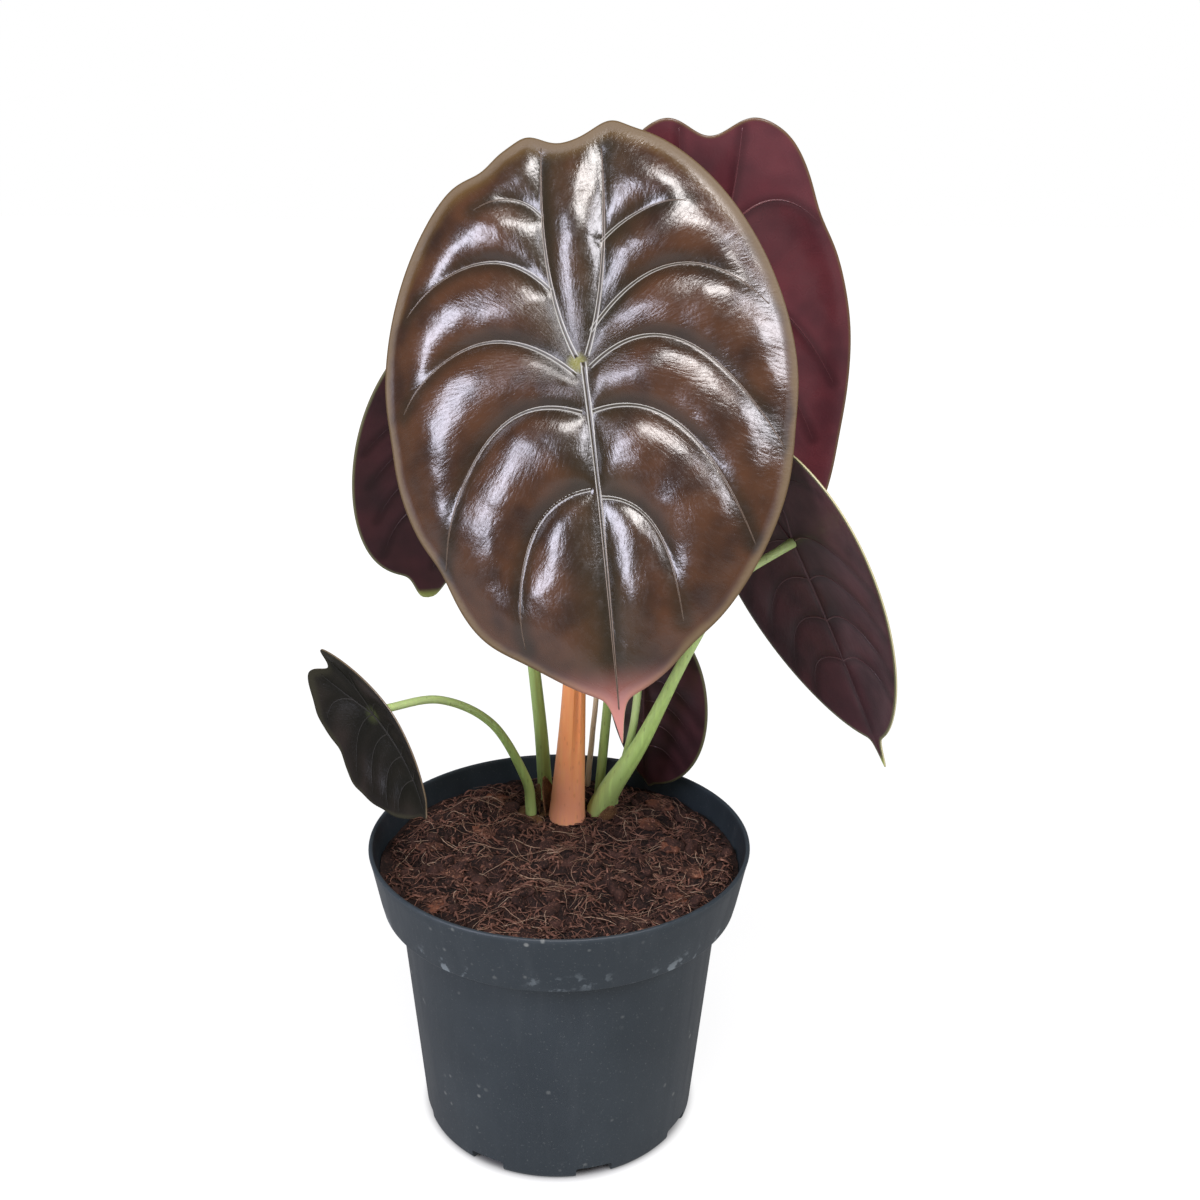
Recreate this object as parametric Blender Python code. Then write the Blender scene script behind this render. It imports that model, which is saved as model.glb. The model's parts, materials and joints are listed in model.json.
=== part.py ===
"""Potted jewel alocasia in a twelve centimetre nursery pot.

Metres, +Z up.  The origin is the centre of the pot's underside, and -Y is the plant's front.
Each separate physical piece is one object: pot, potting mix, rhizome, six leaf blades, six petioles,
three dry scale leaves, an old dry stalk and the loose bark chips that lie on the mix.
"""
from dataclasses import dataclass
from math import cos, exp, hypot, pi, radians, sin, sqrt, tan

import bmesh
import bpy
import numpy as np
from mathutils import Matrix, Vector

# Pot, from a turned profile with a deep collar
POT_HEIGHT = 0.096
POT_RIM_RADIUS = 0.0600
POT_BASE_RADIUS = 0.0439
POT_WALL = 0.0014
POT_FLOOR = 0.0018
POT_BASE_EDGE = 0.0025
COLLAR_HEIGHT = 0.0196
COLLAR_FLARE = 0.0038
COLLAR_LEDGE = 0.0053
RIM_ROUND = 0.0007
DRAIN_COUNT = 8
DRAIN_WIDTH = 0.0115
DRAIN_HEIGHT = 0.0040
DRAIN_REACH = 0.0050
DRAIN_TURN = radians(14.5)

# Potting mix
SOIL_BELOW_RIM = 0.0085
SOIL_BUMP = 0.0007
SOIL_MOUND = 0.0008
FIT_GAP = 0.0003
JOIN_GAP = 0.0005

# Rhizome, the thick stem that all petioles grow from: as wide as their feet and a margin
RHIZOME_MARGIN = 0.0002
RHIZOME_DEPTH_TO_WIDTH = 0.676
RHIZOME_HEIGHT = 0.0260
RHIZOME_SHOW = 0.0008
RHIZOME_OFF_CENTRE = 0.0040
RHIZOME_TO_WALL = 0.0113

# Blades and petioles
BLADE_THICKNESS = 0.0008
DRIP_TIP_SPREAD = 0.12
MIDRIB_SOFTNESS = 0.004
PETIOLE_JOIN = 0.0030
PETIOLE_RISE = 0.0020
PETIOLE_SWELL = 2.4
FRONT_FOOT = (-0.0016, -0.0065)

# Dry stalk, the pale remains of an old petiole at the back
STALK_RADIUS = 0.00115
STALK_ABOVE_LEDGE = 0.0015
STALK_ABOVE_SOIL = 0.0700
STALK_LEAN_RIGHT = radians(5.0)
STALK_LEAN_BACK = radians(3.0)
STALK_FROM_CROWN = (0.0055, 0.0180)
STALK_SIDES = 12

# Detail of the meshes
POT_SEGMENTS = 54
SOIL_RINGS = 7
RHIZOME_SEGMENTS = 28
CHIP_SEED = 7

@dataclass
class Leaf:
    """A shield-shaped blade held by its petiole a little above the middle of its underside.

    attach is measured from the crown.  The face of the blade looks at the compass angle facing,
    0 being the front and 90 the right, tilted up by lift and turned in its own plane by roll.
    Curvatures are per metre and positive where the blade curls away from its face.
    """
    name: str
    length: float
    width: float
    attach: tuple
    facing: float
    lift: float
    roll: float
    above_attach: float
    egg: float = 0.05
    taper: float = 0.3
    drip_tip: float = 0.010
    notch: float = 0.007
    notch_width: float = 0.24
    droop: float = 2.0
    back_droop: float = 2.0
    cup: float = 3.0
    keel: float = 0.0
    rings: int = 6
    sectors: int = 36


@dataclass
class Petiole:
    """A leaf stalk: its foot, the points it passes as measured from the crown, and its two radii.

    The front petiole stands at FRONT_FOOT.  Every other foot is a gap away from it, in the direction
    bearing, 0 being the front and 90 the right.
    """
    leaf: str
    bearing: float
    gap: float
    route: tuple
    foot_radius: float
    top_radius: float
    steps: int = 14
    sides: int = 2


LEAVES = (
    Leaf("leaf_front", 0.1685, 0.1233, (0.000, -0.0325, 0.1576), -17.4, 20.0, 12.3, 0.4246,
         taper=0.45, drip_tip=0.012, droop=1.5, back_droop=1.5),
    Leaf("leaf_back_tall", 0.1580, 0.0950, (0.0399, 0.0155, 0.1700), 184.0, 5.0, -0.8, 0.38,
         egg=-0.09, taper=-0.25, drip_tip=0.009, notch=0.011, back_droop=2.2),
    Leaf("leaf_right_drooping", 0.1050, 0.0805, (0.0663, -0.0265, 0.1036), 119.7, 19.9, -20.2, 0.36,
         egg=0.205, taper=0.23, drip_tip=0.009, notch=0.006, droop=1.7, back_droop=2.7, cup=0.0,
         keel=-7.5),
    Leaf("leaf_left_back", 0.1100, 0.0680, (-0.0345, 0.0165, 0.1357), 204.0, 26.0, 3.7, 0.36,
         egg=-0.03, taper=-0.3, drip_tip=0.009, notch=0.006, cup=2.0, keel=5.0, rings=5, sectors=28),
    Leaf("leaf_left_small", 0.0646, 0.0404, (-0.0612, -0.0345, 0.0502), -40.9, -7.3, 51.6, 0.4444,
         egg=-0.21, taper=0.14, drip_tip=0.002, notch=0.008, notch_width=0.3, droop=-12.7,
         back_droop=-8.7, cup=2.0, keel=24.5, rings=5, sectors=28),
    Leaf("leaf_back_small", 0.0670, 0.0463, (0.0245, 0.0005, 0.0480), 135.2, 3.0, 3.8, 0.38,
         egg=0.0, taper=0.05, drip_tip=0.002, notch=0.004, droop=-4.4, back_droop=3.0, keel=16.9,
         rings=5, sectors=28),
)

PETIOLES = (
    Petiole("leaf_front", 0.0, 0.0, ((0.0005, -0.008, 0.050), (0.001, -0.009, 0.100),
            (0.0018, -0.013, 0.135)), 0.0062, 0.0024, sides=3),
    Petiole("leaf_back_tall", 142.6, 0.0104, ((0.0120, 0.0085, 0.035), (0.0150, 0.0070, 0.075),
            (0.0230, -0.0010, 0.115), (0.0340, -0.0010, 0.148)), 0.0017, 0.0015),
    Petiole("leaf_right_drooping", 103.7, 0.0007, ((0.0135, -0.006, 0.012),
            (0.0230, -0.009, 0.030), (0.0370, -0.016, 0.065), (0.0480, -0.026, 0.090)),
            0.0045, 0.0019, steps=16, sides=3),
    Petiole("leaf_left_back", -153.0, 0.0075, ((-0.0110, 0.0085, 0.030),
            (-0.0155, 0.0085, 0.070), (-0.0220, 0.0020, 0.115)), 0.0026, 0.0018),
    Petiole("leaf_left_small", -102.9, 0.0044, ((-0.0155, -0.005, 0.014),
            (-0.0260, -0.010, 0.036), (-0.0420, -0.018, 0.048)), 0.0019, 0.0013, steps=16),
    Petiole("leaf_back_small", 123.1, 0.0115, ((0.0165, 0.0020, 0.012),
            (0.0200, -0.0040, 0.032)), 0.0015, 0.0013, steps=12),
)

# Dry scale leaves: the petiole that each stands by, its bearing round that foot, height and spread
SCALES = (
    ("leaf_front", radians(150.0), 0.0130, radians(75.0)),
    ("leaf_left_small", radians(40.0), 0.0100, radians(120.0)),
    ("leaf_right_drooping", radians(-60.0), 0.0060, radians(80.0)),
)
SCALE_THICKNESS = 0.0005
SCALE_TO_PETIOLE = 0.0008
SCALE_OPENING = 0.25

# Loose bark chips: place from the pot's axis, as bearing from the front and share of the soil's radius
CHIPS = (
    (134.0, 0.84), (124.0, 0.62), (75.0, 0.76), (54.0, 0.76), (98.0, 0.64),
    (-70.0, 0.62), (-98.0, 0.74), (-122.0, 0.52), (-52.0, 0.83), (-150.0, 0.80),
)
CHIP_SIZE = 0.0034
CHIP_THICKNESS = 0.0013
CHIP_CORNERS = 7


def petiole_foot(petiole):
    """Where a petiole stands, from the middle of the crown."""
    front = PETIOLES[0]
    if petiole is front:
        return Vector(FRONT_FOOT)
    turn = radians(petiole.bearing)
    away = front.foot_radius + petiole.gap + petiole.foot_radius
    return Vector(FRONT_FOOT) + Vector((sin(turn), -cos(turn))) * away


def rhizome_half_width():
    """Half the width of the oval that holds every petiole's foot and the margin round it."""
    reach = []
    for petiole in PETIOLES:
        foot = petiole_foot(petiole)
        out = petiole.foot_radius + RHIZOME_MARGIN
        for turn in np.linspace(0.0, 2.0 * pi, 36):
            across = foot.x + out * cos(turn)
            back = (foot.y + out * sin(turn)) / RHIZOME_DEPTH_TO_WIDTH
            reach.append(hypot(across, back))
    return max(reach)


# Sizes worked out from the ones above
collar_base_radius = POT_RIM_RADIUS - COLLAR_FLARE
collar_base_height = POT_HEIGHT - COLLAR_HEIGHT
wall_top_radius = collar_base_radius - COLLAR_LEDGE
soil_level = POT_HEIGHT - SOIL_BELOW_RIM
soil_radius = POT_RIM_RADIUS - POT_WALL - FIT_GAP - COLLAR_FLARE * SOIL_BELOW_RIM / COLLAR_HEIGHT
stalk_in_soil = soil_level - collar_base_height - POT_WALL - STALK_ABOVE_LEDGE
rhizome_wide = rhizome_half_width()
rhizome_deep = rhizome_wide * RHIZOME_DEPTH_TO_WIDTH
crown = Vector((
    RHIZOME_OFF_CENTRE,
    soil_radius - RHIZOME_TO_WALL - rhizome_deep,
    soil_level + RHIZOME_SHOW,
))


def clear_scene():
    """Start from an empty scene."""
    for old in list(bpy.data.objects):
        bpy.data.objects.remove(old, do_unlink=True)


def material(name, colour, roughness):
    """A Principled material of one colour."""
    made = bpy.data.materials.new(name)
    made.use_nodes = True
    shader = made.node_tree.nodes["Principled BSDF"]
    shader.inputs["Base Color"].default_value = (*colour, 1.0)
    shader.inputs["Roughness"].default_value = roughness
    return made


def add_object(name, mesh, finish):
    """Link a mesh to the scene as an object with one finish, shaded smooth."""
    thing = bpy.data.objects.new(name, mesh)
    bpy.context.scene.collection.objects.link(thing)
    if finish:
        mesh.materials.append(finish)
    mesh.shade_smooth()
    mesh.set_sharp_from_angle(angle=radians(35.0))
    return thing


def ring_solid(name, rings, finish):
    """A closed solid through rings of points, the first and the last closed by a fan."""
    shell = bmesh.new()
    rows = [[shell.verts.new(point) for point in ring] for ring in rings]
    count = len(rows[0])
    for lower, upper in zip(rows, rows[1:]):
        for i in range(count):
            j = (i + 1) % count
            shell.faces.new((lower[i], lower[j], upper[j], upper[i]))
    for row in (rows[0], rows[-1]):
        middle = shell.verts.new(sum((vert.co for vert in row), Vector()) / count)
        for i in range(count):
            shell.faces.new((row[i], row[(i + 1) % count], middle))
    bmesh.ops.recalc_face_normals(shell, faces=shell.faces)
    mesh = bpy.data.meshes.new(name)
    shell.to_mesh(mesh)
    shell.free()
    return add_object(name, mesh, finish)


def circle(radius, height, segments):
    """Points round the vertical axis, the first of them at the front."""
    turns = (2.0 * pi * i / segments for i in range(segments))
    return [Vector((radius * sin(a), -radius * cos(a), height)) for a in turns]


def guide(thing):
    """Mark an object as a cutter, which is no part of the plant."""
    thing.hide_render = True
    thing.display_type = "WIRE"
    return thing


def cut(thing, cutter):
    """Take the cutter's space out of a piece."""
    modifier = thing.modifiers.new("cut_" + cutter.name, "BOOLEAN")
    modifier.operation = "DIFFERENCE"
    modifier.solver = "EXACT"
    modifier.object = cutter


def wall_radius(height):
    """Outside radius of the pot's wall below the collar."""
    return POT_BASE_RADIUS + (wall_top_radius - POT_BASE_RADIUS) * height / collar_base_height


def collar_radius(height):
    """Outside radius of the collar."""
    return collar_base_radius + COLLAR_FLARE * (height - collar_base_height) / COLLAR_HEIGHT


def make_pot(finish):
    """Thin moulded pot: tapered wall, ledge, collar, and drain openings round the floor's edge."""
    inside_ledge = collar_base_height + POT_WALL
    edge = POT_BASE_EDGE
    outside = [(wall_radius(edge) - edge * (1.0 - sin(a)), edge * (1.0 - cos(a)))
               for a in (0.0, pi / 6.0, pi / 3.0, pi / 2.0)]
    profile = outside + [
        (wall_top_radius, collar_base_height),
        (collar_base_radius - RIM_ROUND, collar_base_height),
        (collar_base_radius, collar_base_height + RIM_ROUND),
        (POT_RIM_RADIUS, POT_HEIGHT - RIM_ROUND),
        (POT_RIM_RADIUS - RIM_ROUND, POT_HEIGHT),
        (POT_RIM_RADIUS - POT_WALL, POT_HEIGHT - RIM_ROUND),
        (collar_radius(inside_ledge) - POT_WALL, inside_ledge),
        (wall_radius(inside_ledge) - POT_WALL, inside_ledge),
        (wall_radius(POT_FLOOR) - POT_WALL, POT_FLOOR),
    ]
    pot = ring_solid("nursery_pot", [circle(r, z, POT_SEGMENTS) for r, z in profile], finish)
    for i in range(DRAIN_COUNT):
        cut(pot, drain_cutter(i))
    return pot


def drain_cutter(index):
    """A block over the corner of wall and floor, which leaves one drain opening."""
    block = bmesh.new()
    bmesh.ops.create_cube(block, size=1.0)
    size = (DRAIN_WIDTH, 4.0 * DRAIN_REACH, 2.0 * DRAIN_HEIGHT)
    bmesh.ops.scale(block, vec=size, verts=block.verts)
    bmesh.ops.translate(block, vec=(0.0, -POT_BASE_RADIUS - DRAIN_REACH, 0.0), verts=block.verts)
    turn = Matrix.Rotation(DRAIN_TURN + 2.0 * pi * index / DRAIN_COUNT, 4, "Z")
    bmesh.ops.transform(block, matrix=turn, verts=block.verts)
    mesh = bpy.data.meshes.new("drain_cutter")
    block.to_mesh(mesh)
    block.free()
    return guide(add_object(f"drain_cutter_{index + 1}", mesh, None))


def soil_height(x, y):
    """Top of the potting mix: low waves, and a mound towards the crown."""
    out = hypot(x, y) / soil_radius
    waves = sin(210.0 * x + 1.0) * cos(175.0 * y) + 0.6 * sin(380.0 * y + 2.0) * cos(330.0 * x + 0.5)
    near = exp(-(((x - crown.x) / 0.030) ** 2 + ((y - crown.y) / 0.025) ** 2))
    return soil_level + (SOIL_BUMP * waves + SOIL_MOUND * near) * (1.0 - out ** 6)


def make_soil(finish):
    """Potting mix: fills the pot with a small gap, and is open where the rhizome and the dry stalk stand."""
    ledge = collar_base_height + POT_WALL + FIT_GAP
    sides = [
        (wall_radius(POT_FLOOR) - POT_WALL - FIT_GAP, POT_FLOOR + FIT_GAP),
        (wall_radius(ledge) - POT_WALL - FIT_GAP, ledge),
        (collar_radius(ledge) - POT_WALL - FIT_GAP, ledge),
    ]
    rings = [circle(r, z, POT_SEGMENTS) for r, z in sides]
    for k in range(SOIL_RINGS):
        ring = circle(soil_radius * (1.0 - k / SOIL_RINGS), 0.0, POT_SEGMENTS)
        rings.append([Vector((p.x, p.y, soil_height(p.x, p.y))) for p in ring])
    soil = ring_solid("potting_mix", rings, finish)
    grown = rhizome_rings(JOIN_GAP)
    above = [Vector((p.x, p.y, POT_HEIGHT)) for p in grown[-1]]
    cut(soil, guide(ring_solid("rhizome_cutter", grown + [above], None)))
    cut(soil, guide(make_stalk("stalk_cutter", FIT_GAP, None)))
    return soil


def rhizome_rings(grow):
    """Rings of the corm, from its foot up to its flat crown, larger all round by grow."""
    steps = ((1.0, 0.42), (0.86, 0.70), (0.62, 0.93), (0.36, 1.0), (0.14, 1.0), (0.0, 0.96))
    rings = []
    for down, share in steps:
        height = crown.z - RHIZOME_HEIGHT * down - (grow if down == 1.0 else 0.0)
        wide = rhizome_wide * share + grow
        deep = rhizome_deep * share + grow
        ring = circle(1.0, height, RHIZOME_SEGMENTS)
        rings.append([Vector((crown.x + wide * p.x, crown.y + deep * p.y, p.z)) for p in ring])
    return rings


def make_stalk(name, grow, finish):
    """A round rod where the dry stalk stands, larger all round by grow."""
    place = Vector((crown.x + STALK_FROM_CROWN[0], crown.y + STALK_FROM_CROWN[1], soil_level))
    lean = Matrix.Rotation(-STALK_LEAN_BACK, 3, "X") @ Matrix.Rotation(STALK_LEAN_RIGHT, 3, "Y")
    ends = (-stalk_in_soil - grow, STALK_ABOVE_SOIL + grow)
    rings = [circle(STALK_RADIUS + grow, height, STALK_SIDES) for height in ends]
    return ring_solid(name, [[place + lean @ point for point in ring] for ring in rings], finish)


def blade_axes(leaf):
    """Unit vectors down the midrib, across the blade and out of its face."""
    facing = radians(leaf.facing)
    lift = radians(leaf.lift)
    roll = radians(leaf.roll)
    face = Vector((sin(facing) * cos(lift), -cos(facing) * cos(lift), sin(lift)))
    down = Vector((0.0, 0.0, -1.0))
    along = (down - face * down.dot(face)).normalized()
    across = face.cross(along)
    along = along * cos(roll) + across * sin(roll)
    return along, face.cross(along), face


def blade_point(leaf, angle, share):
    """A point of the blade's face: angle round from the drip tip, share of the way to the margin."""
    lobe = sin(angle)
    power = 1.0 + leaf.taper * (1.0 + cos(angle)) / 2.0
    wide = leaf.width / 2.0 * abs(lobe) ** power * (1.0 if lobe > 0.0 else -1.0)
    wide = wide * (1.0 - leaf.egg * cos(angle)) * share
    long = leaf.length / 2.0 * cos(angle) + (0.5 - leaf.above_attach) * leaf.length
    long = long + leaf.drip_tip * exp(-(angle / DRIP_TIP_SPREAD) ** 2)
    long = long + leaf.notch * exp(-((pi - abs(angle)) / leaf.notch_width) ** 2)
    long = long * share
    bend = leaf.droop if long >= 0.0 else leaf.back_droop
    turn = bend * long
    run = sin(turn) / bend
    fall = -(1.0 - cos(turn)) / bend
    fold = sqrt(wide * wide + MIDRIB_SOFTNESS ** 2) - MIDRIB_SOFTNESS
    rise = tan(radians(leaf.keel)) * fold - leaf.cup * wide * wide / 2.0
    if abs(wide) > 1e-9:
        wide = wide / sqrt(1.0 + (rise / wide) ** 2)
    along, across, face = blade_axes(leaf)
    place = attach_point(leaf) + along * (run + rise * sin(turn))
    return place + across * wide + face * (fall + rise * cos(turn))


def attach_point(leaf):
    """Where the petiole meets the blade, on its face."""
    return crown + Vector(leaf.attach)


def make_blade(leaf, finish):
    """A leaf blade: a fan of rings from the attachment to the margin, given its thickness."""
    sheet = bmesh.new()
    middle = sheet.verts.new(blade_point(leaf, 0.0, 0.0))
    rows = []
    angles = [pi * (1.0 - 2.0 * i / leaf.sectors) for i in range(leaf.sectors)]
    for k in range(1, leaf.rings + 1):
        share = k / leaf.rings
        rows.append([sheet.verts.new(blade_point(leaf, angle, share)) for angle in angles])
    for i in range(leaf.sectors):
        j = (i + 1) % leaf.sectors
        sheet.faces.new((middle, rows[0][i], rows[0][j]))
        for inner, outer in zip(rows, rows[1:]):
            sheet.faces.new((inner[i], outer[i], outer[j], inner[j]))
    sheet.normal_update()
    sheet.faces.ensure_lookup_table()
    if sheet.faces[0].normal.dot(blade_axes(leaf)[2]) < 0.0:
        bmesh.ops.reverse_faces(sheet, faces=sheet.faces)
    mesh = bpy.data.meshes.new(leaf.name)
    sheet.to_mesh(mesh)
    sheet.free()
    blade = add_object(leaf.name, mesh, finish)
    wall = blade.modifiers.new("blade_thickness", "SOLIDIFY")
    wall.thickness = BLADE_THICKNESS
    wall.offset = -1.0
    wall.use_even_offset = False
    return blade


def smooth_route(points, steps):
    """Evenly spaced points on a Catmull-Rom curve through the given points."""
    knots = [points[0] * 2.0 - points[1]] + points + [points[-1] * 2.0 - points[-2]]
    fine = []
    for p0, p1, p2, p3 in zip(knots, knots[1:], knots[2:], knots[3:]):
        for t in np.linspace(0.0, 1.0, 12, endpoint=False):
            fine.append(0.5 * (2.0 * p1 + (p2 - p0) * t + (2.0 * p0 - 5.0 * p1 + 4.0 * p2 - p3) * t * t
                               + (3.0 * p1 - p0 - 3.0 * p2 + p3) * t ** 3))
    fine.append(points[-1])
    walked = np.cumsum([0.0] + [(b - a).length for a, b in zip(fine, fine[1:])])
    wanted = np.linspace(0.0, walked[-1], steps)
    return [Vector([np.interp(w, walked, [p[axis] for p in fine]) for axis in range(3)]) for w in wanted]


def make_petiole(petiole, leaf, finish):
    """A petiole: a tapering tube from the crown to just under the blade's attachment."""
    face = blade_axes(leaf)[2]
    foot = crown + Vector((*petiole_foot(petiole), FIT_GAP))
    end = attach_point(leaf) - face * (BLADE_THICKNESS + JOIN_GAP)
    turned = end - face * PETIOLE_JOIN
    risen = foot + Vector((0.0, 0.0, PETIOLE_RISE))
    passes = [risen] + [crown + Vector(place) for place in petiole.route] + [turned]
    route = [foot] + smooth_route(passes, petiole.steps) + [end]
    curve = bpy.data.curves.new(petiole.leaf, "CURVE")
    curve.dimensions = "3D"
    curve.bevel_depth = 1.0
    curve.bevel_resolution = petiole.sides
    curve.use_fill_caps = True
    line = curve.splines.new("POLY")
    line.points.add(len(route) - 1)
    for i, place in enumerate(route):
        line.points[i].co = (*place, 1.0)
        share = i / (len(route) - 1)
        swell = (petiole.foot_radius - petiole.top_radius) * (1.0 - share) ** PETIOLE_SWELL
        line.points[i].radius = petiole.top_radius + swell
    curve.materials.append(finish)
    stalk = bpy.data.objects.new("petiole_" + petiole.leaf.removeprefix("leaf_"), curve)
    bpy.context.scene.collection.objects.link(stalk)
    return stalk


def make_scale(index, petiole_of, bearing, height, spread, finish):
    """A dry scale leaf: a pointed, curved sheet that stands by a petiole's foot."""
    petiole = next(p for p in PETIOLES if p.leaf == petiole_of)
    centre = crown + Vector((*petiole_foot(petiole), JOIN_GAP))
    radius = petiole.foot_radius + SCALE_TO_PETIOLE
    sheet = bmesh.new()
    rows = []
    for up in np.linspace(0.0, 1.0, 5):
        half = spread / 2.0 * (1.0 - up ** 2) + radians(3.0)
        out = radius * (1.0 + SCALE_OPENING * up)
        row = []
        for turn in np.linspace(bearing - half, bearing + half, 7):
            row.append(sheet.verts.new(centre + Vector((out * cos(turn), out * sin(turn), height * up))))
        rows.append(row)
    for lower, upper in zip(rows, rows[1:]):
        for i in range(6):
            sheet.faces.new((lower[i], lower[i + 1], upper[i + 1], upper[i]))
    mesh = bpy.data.meshes.new("scale_leaf")
    sheet.to_mesh(mesh)
    sheet.free()
    scale = add_object(f"scale_leaf_{index + 1}", mesh, finish)
    wall = scale.modifiers.new("scale_thickness", "SOLIDIFY")
    wall.thickness = SCALE_THICKNESS
    wall.offset = 1.0
    wall.use_even_offset = False
    return scale


def make_chip(index, bearing, share, draw, finish):
    """A bark chip: an uneven flat block that lies on the potting mix."""
    angle = radians(bearing)
    place = Vector((sin(angle), -cos(angle), 0.0)) * soil_radius * share
    outline = []
    longer = draw.uniform(1.2, 1.7)
    for i in range(CHIP_CORNERS):
        corner = 2.0 * pi * i / CHIP_CORNERS
        radius = CHIP_SIZE * draw.uniform(0.7, 1.3)
        outline.append(Vector((longer * radius * cos(corner), radius * sin(corner), 0.0)))
    turn = Matrix.Rotation(draw.uniform(0.0, pi), 3, "Z")
    thick = CHIP_THICKNESS * draw.uniform(0.65, 1.35)
    reach = 1.8 * CHIP_SIZE
    near = []
    for away in (0.0, 0.5 * reach, reach):
        for around in np.linspace(0.0, 2.0 * pi, 16):
            near.append(soil_height(place.x + away * sin(around), place.y + away * cos(around)))
    floor = max(near) + FIT_GAP
    rings = []
    for up, scale in ((0.0, 0.85), (0.55, 1.0), (1.0, 0.75)):
        lifted = Vector((place.x, place.y, floor + thick * up))
        rings.append([lifted + turn @ point * scale for point in outline])
    return ring_solid(f"bark_chip_{index + 1:02d}", rings, finish)


def make_plant():
    """Build every piece."""
    clear_scene()
    pot_finish = material("pot_plastic", (0.040, 0.050, 0.060), 0.60)
    mix_finish = material("potting_mix", (0.060, 0.034, 0.026), 0.95)
    corm_finish = material("rhizome_skin", (0.150, 0.085, 0.050), 0.85)
    blade_finish = material("leaf_blade", (0.160, 0.070, 0.045), 0.25)
    green_finish = material("petiole_green", (0.260, 0.380, 0.100), 0.45)
    orange_finish = material("petiole_orange", (0.620, 0.210, 0.080), 0.45)
    scale_finish = material("dry_scale", (0.300, 0.200, 0.090), 0.85)
    stalk_finish = material("dry_stalk", (0.720, 0.560, 0.360), 0.70)
    chip_finish = material("bark", (0.250, 0.090, 0.045), 0.90)

    make_pot(pot_finish)
    make_soil(mix_finish)
    ring_solid("rhizome", rhizome_rings(0.0), corm_finish)
    make_stalk("dry_stalk", 0.0, stalk_finish)
    by_name = {leaf.name: leaf for leaf in LEAVES}
    for leaf in LEAVES:
        make_blade(leaf, blade_finish)
    for petiole in PETIOLES:
        skin = orange_finish if petiole.leaf == "leaf_front" else green_finish
        make_petiole(petiole, by_name[petiole.leaf], skin)
    for i, scale in enumerate(SCALES):
        make_scale(i, *scale, scale_finish)
    draw = np.random.default_rng(CHIP_SEED)
    for i, (bearing, share) in enumerate(CHIPS):
        make_chip(i, bearing, share, draw, chip_finish)


make_plant()
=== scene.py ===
# %% [markdown]
# # A potted jewel alocasia
#
# The plant is six shield-shaped blades on stalks that rise from one short stem in a nursery pot.
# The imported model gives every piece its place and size.  Each piece is made again here with the
# detail that the eye expects: sunken veins, puffed panels, fibres in the potting mix.

# %% Load the frame
import json
from dataclasses import dataclass, replace
from math import cos, pi, radians, sin, sqrt, tan

import bpy
import numpy as np
from mathutils import Matrix, Vector, noise

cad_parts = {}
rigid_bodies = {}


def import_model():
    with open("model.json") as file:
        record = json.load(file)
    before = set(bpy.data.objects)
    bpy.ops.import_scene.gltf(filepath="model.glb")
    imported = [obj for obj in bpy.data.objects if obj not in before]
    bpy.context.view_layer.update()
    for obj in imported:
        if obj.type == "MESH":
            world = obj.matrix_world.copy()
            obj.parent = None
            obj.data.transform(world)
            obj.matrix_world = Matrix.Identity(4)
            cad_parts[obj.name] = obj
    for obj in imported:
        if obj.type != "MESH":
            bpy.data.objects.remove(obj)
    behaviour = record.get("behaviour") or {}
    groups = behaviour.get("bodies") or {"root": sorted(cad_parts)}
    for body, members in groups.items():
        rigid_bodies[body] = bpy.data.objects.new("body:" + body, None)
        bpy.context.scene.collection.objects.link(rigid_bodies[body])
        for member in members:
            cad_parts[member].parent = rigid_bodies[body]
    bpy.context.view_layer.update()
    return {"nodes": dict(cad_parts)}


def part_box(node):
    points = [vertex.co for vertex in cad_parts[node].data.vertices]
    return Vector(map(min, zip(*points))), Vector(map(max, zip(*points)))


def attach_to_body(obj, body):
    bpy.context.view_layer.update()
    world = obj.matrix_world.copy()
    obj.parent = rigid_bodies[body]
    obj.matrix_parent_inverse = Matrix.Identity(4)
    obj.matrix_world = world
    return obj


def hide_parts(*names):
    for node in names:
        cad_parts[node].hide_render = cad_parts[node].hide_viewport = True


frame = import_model()
MM = 0.001

# %% [markdown]
# ## Camera, light and floor
#
# The plant stands on a white table against white, with windows to its left, to its right and above.
# A glossy leaf shows the shape of what lights it, so each window is a soft area light, and the rest
# is an even white world.  That world glows less for a mirrored ray, or it would lie over the leaves
# as a grey haze.

# %% Camera
CAMERA_PLACE = Vector((0.0, -0.395, 0.312))
CAMERA_LENS = 42.0
CAMERA_DOWN = radians(19.12)
CAMERA_TURN = radians(1.70)
CAMERA_ROLL = radians(0.76)


def deselect():
    """Clear the selection, because an operator acts on all that is selected."""
    bpy.ops.object.select_all(action="DESELECT")


deselect()
bpy.ops.object.camera_add(location=CAMERA_PLACE)
camera = bpy.context.object
camera.data.lens = CAMERA_LENS
camera.data.sensor_width = 36.0
camera.data.clip_start = 0.01
level = cos(CAMERA_DOWN)
ahead = Vector((sin(CAMERA_TURN) * level, cos(CAMERA_TURN) * level, -sin(CAMERA_DOWN)))
upright = ahead.to_track_quat("-Z", "Y").to_matrix().to_4x4()
rolled = Matrix.Rotation(CAMERA_ROLL, 4, "Z")
camera.matrix_world = Matrix.Translation(CAMERA_PLACE) @ upright @ rolled
bpy.context.scene.camera = camera
print("camera looks along", [round(v, 3) for v in ahead])

# %% Light
PLANT_MIDDLE = Vector((0.0, 0.0, 0.18))


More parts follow.
